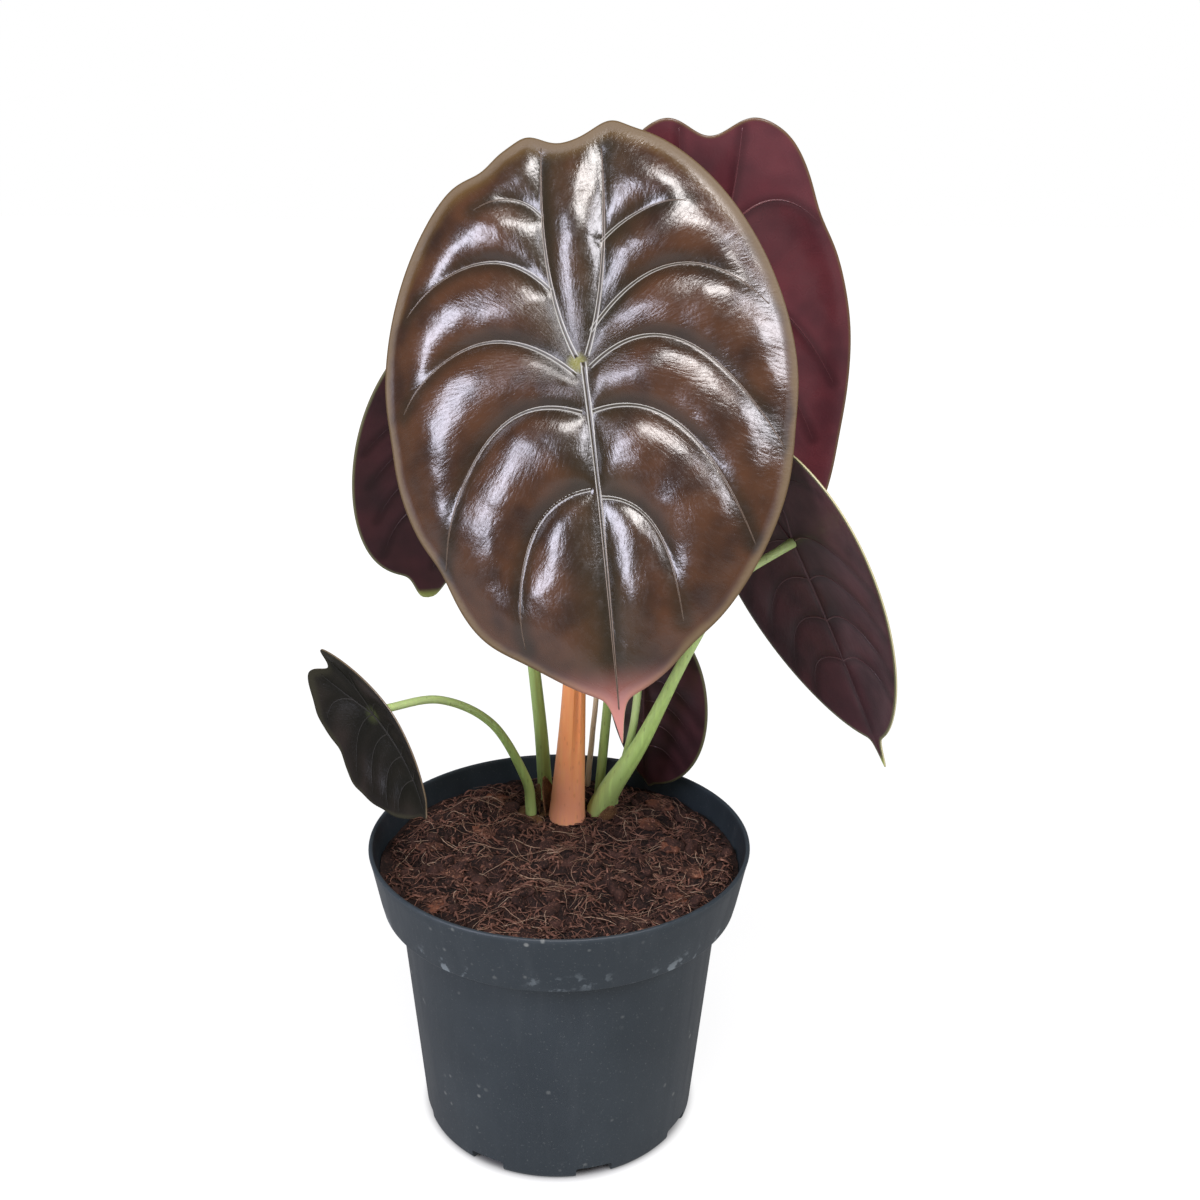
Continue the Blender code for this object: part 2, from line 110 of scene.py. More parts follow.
def window_light(name, place, size, power, colour):
    """A soft area light that looks at the middle of the plant."""
    bpy.ops.object.light_add(type="AREA", location=place)
    light = bpy.context.object
    light.name = name
    light.data.shape = "RECTANGLE"
    light.data.size, light.data.size_y = size
    light.data.energy = power
    light.data.color = colour
    toward = PLANT_MIDDLE - Vector(place)
    light.rotation_euler = toward.to_track_quat("-Z", "Y").to_euler()


window_light("window_left", (-0.80, -0.62, 0.62), (0.34, 0.54), 7.5, (0.84, 0.84, 1.0))
window_light("window_right", (0.52, -0.70, 0.95), (0.42, 0.36), 6.5, (0.95, 0.93, 1.0))
window_light("window_above", (-0.06, -0.52, 1.08), (0.42, 0.26), 5.5, (1.0, 0.96, 0.95))
ROOM_GLOW = 0.30
GLOSS_GLOW = 0.12
BACKDROP_GLOW = 1.0
world = bpy.data.worlds.new("white_room")
world.use_nodes = True
sky = world.node_tree
room = sky.nodes["Background"]
room.inputs["Color"].default_value = (1.0, 1.0, 1.0, 1.0)
rays = sky.nodes.new("ShaderNodeLightPath")
in_gloss = sky.nodes.new("ShaderNodeMapRange")
in_gloss.inputs["To Min"].default_value = ROOM_GLOW
in_gloss.inputs["To Max"].default_value = GLOSS_GLOW
glow = sky.nodes.new("ShaderNodeMapRange")
glow.inputs["To Max"].default_value = BACKDROP_GLOW
sky.links.new(rays.outputs["Is Glossy Ray"], in_gloss.inputs["Value"])
sky.links.new(in_gloss.outputs["Result"], glow.inputs["To Min"])
sky.links.new(rays.outputs["Is Camera Ray"], glow.inputs["Value"])
sky.links.new(glow.outputs["Result"], room.inputs["Strength"])
bpy.context.scene.world = world
bpy.context.scene.view_settings.view_transform = "Standard"

# %% [markdown]
# ## Materials
#
# A material here is a small graph of nodes.  One helper adds a node and fills its sockets, so each
# graph reads from top to bottom.  Noise is measured in metres, because every piece stands at the
# origin and its Object coordinates are real places.

# %% Node helpers
MIX_INPUTS = (0, 6, 7)
MIX_OUTPUT = 2


def new_material(name, roughness, coat=0.0, coat_roughness=0.1, specular=0.5):
    """A Principled material, with the values that are the same all over set on the shader."""
    made = bpy.data.materials.new(name)
    made.use_nodes = True
    shader = made.node_tree.nodes["Principled BSDF"]
    shader.inputs["Roughness"].default_value = roughness
    shader.inputs["Coat Weight"].default_value = coat
    shader.inputs["Coat Roughness"].default_value = coat_roughness
    shader.inputs["Specular IOR Level"].default_value = specular
    return made, made.node_tree, shader


def fill(tree, socket, value):
    """Give a socket a number, a vector, a colour or another node's output."""
    if isinstance(value, bpy.types.NodeSocket):
        tree.links.new(value, socket)
    elif socket.type == "RGBA":
        socket.default_value = (*value, 1.0)
    else:
        socket.default_value = value


def put(tree, kind, settings=None, **sockets):
    """Add a node, with its settings and what each of its sockets gets."""
    made = tree.nodes.new(kind)
    for key, value in (settings or {}).items():
        setattr(made, key, value)
    for key, value in sockets.items():
        wanted = key.replace("_", " ")
        fill(tree, next(s for s in made.inputs if s.name == wanted and s.enabled), value)
    return made


def places(tree, stretch=(1.0, 1.0, 1.0)):
    """Object coordinates in metres, stretched for a pattern that runs one way."""
    here = put(tree, "ShaderNodeTexCoord")
    return put(tree, "ShaderNodeMapping", Vector=here.outputs["Object"], Scale=stretch).outputs["Vector"]


def noise_of(tree, vector, scale, detail=3.0, rough=0.55, distortion=0.0):
    """A noise value between 0 and 1."""
    made = put(tree, "ShaderNodeTexNoise", Vector=vector, Scale=scale, Detail=detail,
               Roughness=rough, Distortion=distortion)
    return made.outputs["Fac"]


def ramp(tree, value, low, high, start=0.0, end=1.0):
    """Map a value from low..high to start..end, smoothly, and no further."""
    made = put(tree, "ShaderNodeMapRange", {"interpolation_type": "SMOOTHSTEP"}, Value=value,
               From_Min=low, From_Max=high, To_Min=start, To_Max=end)
    return made.outputs["Result"]


def blend_colours(tree, share, first, second):
    """A mix of two colours.  Each is three numbers or another node's output."""
    made = put(tree, "ShaderNodeMix", {"data_type": "RGBA"})
    for index, value in zip(MIX_INPUTS, (share, first, second)):
        fill(tree, made.inputs[index], value)
    return made.outputs[MIX_OUTPUT]


def calculate(tree, operation, first, second):
    """A Math node's result."""
    made = put(tree, "ShaderNodeMath", {"operation": operation})
    for socket, value in zip(made.inputs, (first, second)):
        fill(tree, socket, value)
    return made.outputs[0]


def times(tree, first, second):
    """The product of two values."""
    return calculate(tree, "MULTIPLY", first, second)


def plus(tree, first, second):
    """The sum of two values."""
    return calculate(tree, "ADD", first, second)


def attribute(tree, name):
    """A value that is stored on the mesh's points."""
    return put(tree, "ShaderNodeAttribute", {"attribute_name": name}).outputs["Fac"]


def finish_shader(tree, shader, colour, roughness, height, depth, strength):
    """Link colour, roughness where it varies, and fine relief, depth in metres for a height of 1."""
    tree.links.new(colour, shader.inputs["Base Color"])
    if roughness is not None:
        tree.links.new(roughness, shader.inputs["Roughness"])
    relief = put(tree, "ShaderNodeBump", Height=height, Distance=depth, Strength=strength)
    tree.links.new(relief.outputs["Normal"], shader.inputs["Normal"])


def colour_of(red, green, blue):
    """A colour as the eye names it, 0 to 255, turned to the linear values that a shader takes."""
    return tuple(((v / 255.0 + 0.055) / 1.055) ** 2.4 if v > 10 else v / 3294.6 for v in (red, green, blue))


def colours_of(*named):
    """Several such colours."""
    return [colour_of(*colour) for colour in named]


def shade(colour, times_as_bright):
    """The same hue, darker or lighter, and never above white."""
    return tuple(min(1.0, v * times_as_bright) for v in colour)


print("node helpers ready")

# %% [markdown]
# ## Floor
#
# A plain pale sheet, which is only there to catch the soft shadow.  It glows a little, so that it
# meets the white world with no horizon, and its glow fades to a painted shade beneath the pot and
# just round its foot, which shows behind the drain openings.

# %% Floor
FLOOR_GLOW = 1.0
FLOOR_IN_GLOSS = 0.10
FLOOR_GREY = 0.25
GLOW_BY_THE_POT = 0.84
SHADE_ENDS = (0.15, 0.9)
PAINTED_SHADE_UNDER_POT = (40.5 * MM, 46.5 * MM)
deselect()
bpy.ops.mesh.primitive_plane_add(size=8.0, location=(0.0, 0.0, 0.0))
floor = bpy.context.object
floor.name = "floor"
floor_paint, floor_tree, floor_shader = new_material("floor_paint", 0.9)
floor_shader.inputs["Base Color"].default_value = (FLOOR_GREY, FLOOR_GREY, FLOOR_GREY, 1.0)
floor_shader.inputs["Emission Strength"].default_value = 1.0
measure = put(floor_tree, "ShaderNodeVectorMath", {"operation": "LENGTH"}, Vector=places(floor_tree))
far_out = measure.outputs["Value"]
seen_glow = ramp(floor_tree, far_out, *SHADE_ENDS, GLOW_BY_THE_POT, 1.0)
# Painted shade: the floor's glow fades to nothing beneath the pot and just round its foot.
seen_glow = times(floor_tree, seen_glow, ramp(floor_tree, far_out, *PAINTED_SHADE_UNDER_POT))
floor_rays = put(floor_tree, "ShaderNodeLightPath").outputs
lit_glow = blend_colours(floor_tree, floor_rays["Is Glossy Ray"], (FLOOR_GLOW,) * 3, (FLOOR_IN_GLOSS,) * 3)
floor_glow = blend_colours(floor_tree, floor_rays["Is Camera Ray"], lit_glow, seen_glow)
floor_tree.links.new(floor_glow, floor_shader.inputs["Emission Color"])
floor.data.materials.append(floor_paint)
print("floor:", floor.name)

# %% [markdown]
# ## Small tools for meshes
#
# Operators act on all that is selected, so each helper starts from a known selection.

# %% Mesh helpers


def select_only(thing):
    """Make one object the selected and active one."""
    deselect()
    thing.select_set(True)
    bpy.context.view_layer.objects.active = thing


def open_mesh(thing):
    """Go to edit mode with all of one object's mesh selected."""
    select_only(thing)
    bpy.ops.object.mode_set(mode="EDIT")
    bpy.ops.mesh.select_all(action="SELECT")


def close_mesh():
    """Turn all faces outwards and go back to object mode."""
    bpy.ops.mesh.select_all(action="SELECT")
    bpy.ops.mesh.normals_make_consistent(inside=False)
    bpy.ops.object.mode_set(mode="OBJECT")


def square_grid(name, cuts):
    """A grid of squares from -1 to 1, to be pushed out to a disc."""
    deselect()
    bpy.ops.mesh.primitive_grid_add(x_subdivisions=cuts, y_subdivisions=cuts, size=2.0)
    bpy.context.object.name = name
    return bpy.context.object


def mesh_of(name, points, faces):
    """An object from places and faces, for what is far too many to add by hand."""
    mesh = bpy.data.meshes.new(name)
    mesh.from_pydata(points.tolist(), [], faces)
    mesh.update()
    made = bpy.data.objects.new(name, mesh)
    bpy.context.scene.collection.objects.link(made)
    return made


def apply_all(thing):
    """Apply every modifier, from the top of the stack down."""
    select_only(thing)
    for modifier in list(thing.modifiers):
        bpy.ops.object.modifier_apply(modifier=modifier.name)


def get_points(thing):
    """The places of an object's points as an array with a row for each."""
    flat = np.empty(len(thing.data.vertices) * 3)
    thing.data.vertices.foreach_get("co", flat)
    return flat.reshape(-1, 3)


def set_points(thing, where):
    """Move an object's points."""
    thing.data.vertices.foreach_set("co", np.asarray(where, dtype=float).ravel())
    thing.data.update()


def store(thing, name, values):
    """Keep a value for each point, for the material to read."""
    layer = thing.data.attributes.new(name, "FLOAT", "POINT")
    layer.data.foreach_set("value", np.asarray(values, dtype=np.float32))


def smooth(thing, angle=None):
    """Shade smooth, with edges sharper than the angle kept crisp."""
    select_only(thing)
    if angle is None:
        bpy.ops.object.shade_smooth()
    else:
        bpy.ops.object.shade_smooth_by_angle(angle=radians(angle))


def join(parts, name):
    """Join several objects to the first and name the result."""
    deselect()
    for part in parts:
        part.select_set(True)
    bpy.context.view_layer.objects.active = parts[0]
    bpy.ops.object.join()
    whole = bpy.context.object
    whole.name = name
    whole.data.name = name
    return whole


def finish_piece(thing, slot, *nodes):
    """Tell the frame what a finished piece rides on and stands for.  The slot is not used."""
    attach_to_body(thing, "root")
    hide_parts(*nodes)
    thing.data.calc_loop_triangles()
    print(f"{thing.name}: {len(thing.data.loop_triangles)} triangles, for {', '.join(nodes)}")


print("mesh helpers ready")

# %% [markdown]
# ## The shape of a blade
#
# A blade is a shield: a long oval with a drip tip below and a notch above, held at a point on its
# midrib.  A point of it is named by how far it lies along the midrib and across it.  Bending along
# the midrib, a curl across it and a fold at it then carry that flat point into space.  The sizes
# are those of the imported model, so each blade lies where its solid does.

# %% Sizes of the blades
BLADE_THICKNESS = 0.8 * MM
EDGE_INSET = 0.3 * MM
DRIP_TIP_SPREAD = 0.085
MIDRIB_SOFTNESS = 4.0 * MM
SOIL_LEVEL = 0.0875
SOIL_RADIUS = 0.05665
CROWN = np.array((0.004, 0.0325, 0.0883))


@dataclass
class Leaf:
    """A blade: its size, where its stalk meets it, how it faces, and how it bends."""
    name: str
    length: float
    width: float
    attach: tuple
    facing: float
    lift: float
    roll: float
    above_attach: float
    egg: float = 0.05
    taper: float = 0.3
    drip_tip: float = 0.010
    notch: float = 0.007
    notch_width: float = 0.24
    droop: float = 2.0
    back_droop: float = 2.0
    cup: float = 3.0
    keel: float = 0.0
    grid: int = 110
    puff: float = 1.0 * MM
    edge_bumps: tuple = ()


FRONT = Leaf("leaf_front", 0.1685, 0.1233, (0.0, -0.0325, 0.1576), -17.4, 20.0, 12.3, 0.4246,
             taper=0.45, drip_tip=0.012, droop=1.5, back_droop=1.5, grid=200, puff=5.2 * MM,
             edge_bumps=((-173.0, 5.0, 3.0 * MM), (-157.0, 7.0, -3.4 * MM), (-60.0, 6.0, -1.3 * MM),
                         (-45.0, 10.0, 3.2 * MM), (-89.0, 8.0, -1.0 * MM), (166.0, 5.0, 2.2 * MM),
                         (32.0, 7.0, -1.2 * MM), (80.0, 8.0, -0.9 * MM)))
BACK_TALL = Leaf("leaf_back_tall", 0.1580, 0.0950, (0.0399, 0.0155, 0.1700), 184.0, 5.0, -0.8, 0.38,
                 egg=-0.09, taper=-0.25, drip_tip=0.009, notch=0.011, back_droop=2.2, grid=140,
                 puff=3.2 * MM, edge_bumps=((-147.0, 9.0, 1.2 * MM), (-126.0, 9.0, -1.8 * MM),
                                            (-97.0, 12.0, 0.8 * MM), (-70.0, 10.0, -0.8 * MM)))
RIGHT_DROOPING = Leaf("leaf_right_drooping", 0.1050, 0.0805, (0.0663, -0.0265, 0.1036), 119.7, 19.9,
                      -20.2, 0.36, egg=0.205, taper=0.23, drip_tip=0.009, notch=0.006, droop=1.7,
                      back_droop=2.7, cup=0.0, keel=-7.5)
LEFT_BACK = Leaf("leaf_left_back", 0.1100, 0.0680, (-0.0345, 0.0165, 0.1357), 204.0, 26.0, 3.7, 0.36,
                 egg=-0.03, taper=-0.3, drip_tip=0.009, notch=0.006, cup=2.0, keel=5.0)
LEFT_SMALL = Leaf("leaf_left_small", 0.0646, 0.0404, (-0.0612, -0.0345, 0.0502), -40.9, -7.3, 51.6,
                  0.4444, egg=-0.21, taper=0.14, drip_tip=0.002, notch=0.008, notch_width=0.3,
                  droop=-12.7, back_droop=-8.7, cup=2.0, keel=24.5, grid=90, puff=0.9 * MM,
                  edge_bumps=((-97.0, 9.0, -1.4 * MM), (-76.0, 7.0, 0.8 * MM), (-122.0, 8.0, 0.7 * MM),
                              (-45.0, 9.0, -0.7 * MM), (60.0, 12.0, -0.6 * MM)))
BACK_SMALL = Leaf("leaf_back_small", 0.0670, 0.0463, (0.0245, 0.0005, 0.0480), 135.2, 3.0, 3.8, 0.38,
                  egg=0.0, taper=0.05, drip_tip=0.002, notch=0.004, droop=-4.4, back_droop=3.0,
                  keel=16.9, grid=90, puff=0.9 * MM)
LEAVES = (FRONT, BACK_TALL, RIGHT_DROOPING, LEFT_BACK, LEFT_SMALL, BACK_SMALL)
print("blades:", [leaf.name for leaf in LEAVES])

# %% From a flat blade into space


def blade_axes(leaf):
    """Unit vectors down the midrib, across the blade and out of its face."""
    facing, lift, roll = radians(leaf.facing), radians(leaf.lift), radians(leaf.roll)
    face = np.array((sin(facing) * cos(lift), -cos(facing) * cos(lift), sin(lift)))
    down = np.array((0.0, 0.0, -1.0))
    along = down - face * down.dot(face)
    along /= np.linalg.norm(along)
    along = along * cos(roll) + np.cross(face, along) * sin(roll)
    return along, np.cross(face, along), face


def outline_point(leaf, angle, share):
    """Flat place of a point: angle round from the drip tip, share of the way to the margin."""
    power = 1.0 + leaf.taper * (1.0 + np.cos(angle)) / 2.0
    wide = leaf.width / 2.0 * np.abs(np.sin(angle)) ** power * np.sign(np.sin(angle))
    wide *= 1.0 - leaf.egg * np.cos(angle)
    long = leaf.length / 2.0 * np.cos(angle) + (0.5 - leaf.above_attach) * leaf.length
    long += leaf.drip_tip * np.exp(-(angle / DRIP_TIP_SPREAD) ** 2)
    long += leaf.notch * np.exp(-((pi - np.abs(angle)) / leaf.notch_width) ** 2)
    out = np.hypot(long, wide)
    grow = 1.0 - EDGE_INSET / out
    for bearing, spread, height in leaf.edge_bumps:
        away = (angle - radians(bearing) + pi) % (2.0 * pi) - pi
        grow += height / out * np.exp(-(away / radians(spread)) ** 2)
    return long * share * grow, wide * share * grow


def in_space(leaf, long, wide):
    """Where flat points of the blade's face lie."""
    bend = np.where(long >= 0.0, leaf.droop, leaf.back_droop)
    turn = bend * long
    run = np.sin(turn) / bend
    fall = -(1.0 - np.cos(turn)) / bend
    fold = np.sqrt(wide ** 2 + MIDRIB_SOFTNESS ** 2) - MIDRIB_SOFTNESS
    rise = tan(radians(leaf.keel)) * fold - leaf.cup * wide ** 2 / 2.0
    safe = np.where(np.abs(wide) > 1e-9, wide, 1.0)
    wide = wide / np.sqrt(1.0 + (rise / safe) ** 2)
    along, across, face = blade_axes(leaf)
    place = CROWN + np.array(leaf.attach)
    place = place + np.outer(run + rise * np.sin(turn), along) + np.outer(wide, across)
    return place + np.outer(fall + rise * np.cos(turn), face)


def face_normals(leaf, long, wide):
    """Unit vectors out of the blade's face at flat points, from two short steps."""
    step = 0.2 * MM
    one = in_space(leaf, long + step, wide) - in_space(leaf, long - step, wide)
    two = in_space(leaf, long, wide + step) - in_space(leaf, long, wide - step)
    out = np.cross(one, two)
    out /= np.linalg.norm(out, axis=1)[:, None]
    return out * np.sign(out @ blade_axes(leaf)[2])[:, None]


print("front drip tip at", in_space(FRONT, *outline_point(FRONT, np.zeros(1), np.ones(1))).round(4))

# %% [markdown]
# ## Veins
#
# A strong midrib runs from the stalk to the tip, two basal veins run up into the lobes, and side
# veins leave them, arch outwards and turn towards the tip near the margin.  Each is a smooth curve
# through three places, given as a share of the blade's length and of half its width.

# %% Vein paths
VEIN_STOP = 1.6 * MM


@dataclass
class Vein:
    """A vein through three flat places, with its width in metres and how much it fades outwards."""
    start: tuple
    middle: tuple
    end: tuple
    width: float
    fade: float = 0.5
    reach: float = 1.0


def vein_path(leaf, vein, count=48):
    """Flat points along a vein, as far as it reaches."""
    t = np.linspace(0.0, vein.reach, count)[:, None]
    a, b, c = np.array((vein.start, vein.middle, vein.end)) * (leaf.length, leaf.width / 2.0)
    return a * (1 - t) * (1 - 2 * t) + b * 4 * t * (1 - t) + c * t * (2 * t - 1)


FRONT_VEINS = (
    Vein((0.0, 0.03), (0.30, 0.035), (0.62, 0.0), 2.3 * MM, 0.45),
    Vein((-0.01, 0.0), (-0.17, -0.095), (-0.385, -0.075), 1.9 * MM, 0.3),
    Vein((-0.01, 0.05), (-0.16, 0.165), (-0.36, 0.21), 1.9 * MM, 0.3),
    Vein((-0.26, -0.10), (-0.30, -0.24), (-0.29, -0.42), 1.1 * MM, 0.9),
    Vein((-0.13, -0.09), (-0.20, -0.42), (-0.13, -0.82), 1.5 * MM, 0.7),
    Vein((0.02, -0.01), (-0.06, -0.45), (0.04, -0.88), 1.6 * MM, 0.7),
    Vein((0.085, 0.0), (0.10, -0.44), (0.32, -0.76), 1.6 * MM, 0.7),
    Vein((0.215, 0.0), (0.28, -0.30), (0.47, -0.40), 1.4 * MM, 0.7),
    Vein((-0.20, 0.17), (-0.24, 0.37), (-0.24, 0.58), 1.3 * MM, 0.8),
    Vein((-0.05, 0.08), (-0.14, 0.50), (-0.05, 0.90), 1.5 * MM, 0.7),
    Vein((0.01, 0.06), (-0.01, 0.50), (0.19, 0.90), 1.6 * MM, 0.6),
    Vein((0.085, 0.05), (0.13, 0.45), (0.34, 0.72), 1.6 * MM, 0.7),
    Vein((0.23, 0.04), (0.29, 0.28), (0.45, 0.36), 1.4 * MM, 0.7),
)


def usual_veins(thickness):
    """Midrib, two basal veins and five pairs of side veins, for the other blades."""
    veins = [Vein((0.0, 0.0), (0.30, 0.01), (0.60, 0.0), 2.0 * thickness, 0.4)]
    for side in (-1.0, 1.0):
        veins.append(Vein((0.0, 0.0), (-0.16, 0.14 * side), (-0.33, 0.20 * side), 1.5 * thickness, 0.4))
    for side in (-1.0, 1.0):
        veins.append(Vein((-0.12, 0.11 * side), (-0.19, 0.42 * side), (-0.14, 0.76 * side), thickness, 0.7))
        for start in (0.0, 0.12, 0.25, 0.38):
            middle = (start + 0.01, (0.46 - 0.25 * start) * side)
            end = (start + 0.17, (0.90 - 0.95 * start) * side)
            veins.append(Vein((start, 0.0), middle, end, thickness, 0.7))
    return tuple(veins)


def measure_veins(leaf, veins, long, wide):
    """For each flat point: distance to each vein, and how far along it."""
    points = np.stack((long, wide), axis=1)
    apart, run = [], []
    for vein in veins:
        path = vein_path(leaf, vein)
        best = np.full(len(points), 1.0)
        best_run = np.zeros(len(points))
        for i, (a, b) in enumerate(zip(path, path[1:])):
            step = b - a
            share = np.clip(((points - a) @ step) / (step @ step), 0.0, 1.0)
            gap = points - a - share[:, None] * step
            far = np.hypot(gap[:, 0], gap[:, 1])
            near = far < best
            best = np.where(near, far, best)
            best_run = np.where(near, (i + share) / (len(path) - 1), best_run)
        apart.append(best)
        run.append(best_run)
    return np.array(apart), np.array(run)


def margin_of(leaf, count):
    """Flat places all round the margin."""
    round_it = np.linspace(-pi, pi, count)
    return outline_point(leaf, round_it, np.ones_like(round_it))


def margin_distance(leaf, long, wide):
    """Distance from flat points to the blade's margin."""
    edge = np.stack(margin_of(leaf, 240), axis=1)
    points = np.stack((long, wide), axis=1)
    best = np.full(len(points), 1.0)
    for a, b in zip(edge, edge[1:]):
        step = b - a
        share = np.clip(((points - a) @ step) / max(step @ step, 1e-12), 0.0, 1.0)
        gap = points - a - share[:, None] * step
        best = np.minimum(best, np.hypot(gap[:, 0], gap[:, 1]))
    return best


def inside_blade(leaf, long, wide):
    """Whether flat points lie within the margin."""
    edge_long, edge_wide = margin_of(leaf, 721)
    reach = np.interp(np.arctan2(wide, long), np.arctan2(edge_wide, edge_long),
                      np.hypot(edge_long, edge_wide), period=2.0 * pi)
    return np.hypot(long, wide) < reach


def fit_veins(leaf, veins):
    """The same veins, each ended where it comes close to the margin."""
    fitted = []
    for vein in veins:
        path = vein_path(leaf, vein, 120)
        far_in = inside_blade(leaf, *path.T) & (margin_distance(leaf, *path.T) > VEIN_STOP)
        kept = len(far_in) if far_in.all() else int(np.argmin(far_in))
        fitted.append(replace(vein, reach=max(kept - 1, 8) / (len(path) - 1)))
    return tuple(fitted)


print("veins of the front blade:", len(FRONT_VEINS))

# %% [markdown]
# ### Puffed panels
#
# Between its veins the blade bulges like a quilt.  Noise would not know where the veins are, so the
# bulge is worked out as for a thin skin that is held down along the veins and at the margin and is
# blown up from below.  On a raster over the flat blade, each place settles to the mean of its four
# neighbours plus a small push, again and again, until the panels are round.

# %% Blow up the panels
RASTER_ROWS = 200
SETTLING = 650
HOLD_WIDTH = 1.0 * MM
HOLD_FADE = 5.0
ROUNDING = 0.72
MARGIN_FLAT = 5.5 * MM
SINK = 0.25


def margin_calm(leaf, edge):
    """0 at the margin, rising to 1 a few millimetres inside it."""
    return 1.0 - np.exp(-(edge / (MARGIN_FLAT * leaf.length / FRONT.length)) ** 1.5)


def blow_up(leaf, veins):
    """The raster's corner, its step, and the height there from 0 to 1."""
    edge_long, edge_wide = margin_of(leaf, 240)
    step = leaf.length / RASTER_ROWS
    longs = np.arange(edge_long.min() - 3.0 * step, edge_long.max() + 4.0 * step, step)
    wides = np.arange(edge_wide.min() - 3.0 * step, edge_wide.max() + 4.0 * step, step)
    long, wide = (part.ravel() for part in np.meshgrid(longs, wides, indexing="ij"))
    inside = inside_blade(leaf, long, wide)
    apart, run = measure_veins(leaf, veins, long, wide)
    fade = np.array([vein.fade for vein in veins])[:, None]
    hold = (1.0 - fade * run ** 1.5) ** HOLD_FADE * np.exp(-(apart / HOLD_WIDTH) ** 2)
    keep = (inside * (1.0 - hold.max(axis=0))).reshape(len(longs), len(wides))
    push = margin_calm(leaf, margin_distance(leaf, long, wide)).reshape(keep.shape)
    height = np.zeros_like(keep)
    for _ in range(SETTLING):
        mean = np.zeros_like(height)
        beside = height[:-2, 1:-1] + height[2:, 1:-1] + height[1:-1, :-2] + height[1:-1, 2:]
        mean[1:-1, 1:-1] = beside / 4.0
        height = keep * (mean + push)
    return longs[0], wides[0], step, (height / height.max()) ** ROUNDING


def face_height(leaf, blown, long, wide):
    """Height of the face at flat points, read between places of the raster, and the margin's gap."""
    first_long, first_wide, step, height = blown
    row, column = (long - first_long) / step, (wide - first_wide) / step
    i = np.clip(row.astype(int), 0, height.shape[0] - 2)
    j = np.clip(column.astype(int), 0, height.shape[1] - 2)
    a, b = row - i, column - j
    here = (height[i, j] * (1 - a) + height[i + 1, j] * a) * (1 - b)
    here = here + (height[i, j + 1] * (1 - a) + height[i + 1, j + 1] * a) * b
    edge = margin_distance(leaf, long, wide)
    return leaf.puff * (here - SINK) * margin_calm(leaf, edge), edge


print("raster for the front blade: a step of", round(FRONT.length / RASTER_ROWS / MM, 2), "mm")

# %% [markdown]
# ## Making a blade
#
# By hand, a blade could be a plane that is sculpted, or a fan of rings.  A square grid is better
# here: its points spread evenly once they are pushed out into a disc, so the creases are as crisp
# at the margin as in the middle.  Solidify gives the sheet its thickness, with one material for
# each side and one for the edge.  Then both sides get their relief from the veins.

# %% Build one blade
EDGE_THIN = 0.55
THIN_WIDTH = 4.0 * MM
UNDULATION = 0.11
WAVE_SIZE = 13.0 * MM
DIMPLE_SIZE = 4.5 * MM
DIMPLE_SHARE = 0.20
CALM_MARGIN = 6.0 * MM
CALM_VEIN = 4.0 * MM


def sheet_thickness(edge):
    """Thickness of the blade, less at the margin."""
    return BLADE_THICKNESS * (EDGE_THIN + (1.0 - EDGE_THIN) * (1.0 - np.exp(-edge / THIN_WIDTH)))


def disc_places(thing):
    """Angle and share of the radius for points of a square grid from -1 to 1, pushed out to a disc."""
    flat = get_points(thing)
    u, v = flat[:, 0], flat[:, 1]
    share = np.maximum(np.abs(u), np.abs(v))
    safe = np.where(share > 1e-9, share, 1.0)
    sideways = np.abs(u) > np.abs(v)
    inner = np.where(sideways, v, u) / safe * pi / 4.0
    angle = np.where(sideways, np.where(u > 0.0, inner, pi - inner),
                     np.where(v > 0.0, pi / 2.0 - inner, inner - pi / 2.0))
    return (angle + pi) % (2.0 * pi) - pi, share


def slow_waves(points, size, seed):
    """Soft noise from -1 to 1 for each row of points, with features of that size."""
    shift = Vector((seed * 7.3, seed * 3.1, 0.0))
    return np.array([noise.noise(Vector(p) / size + shift) for p in points])


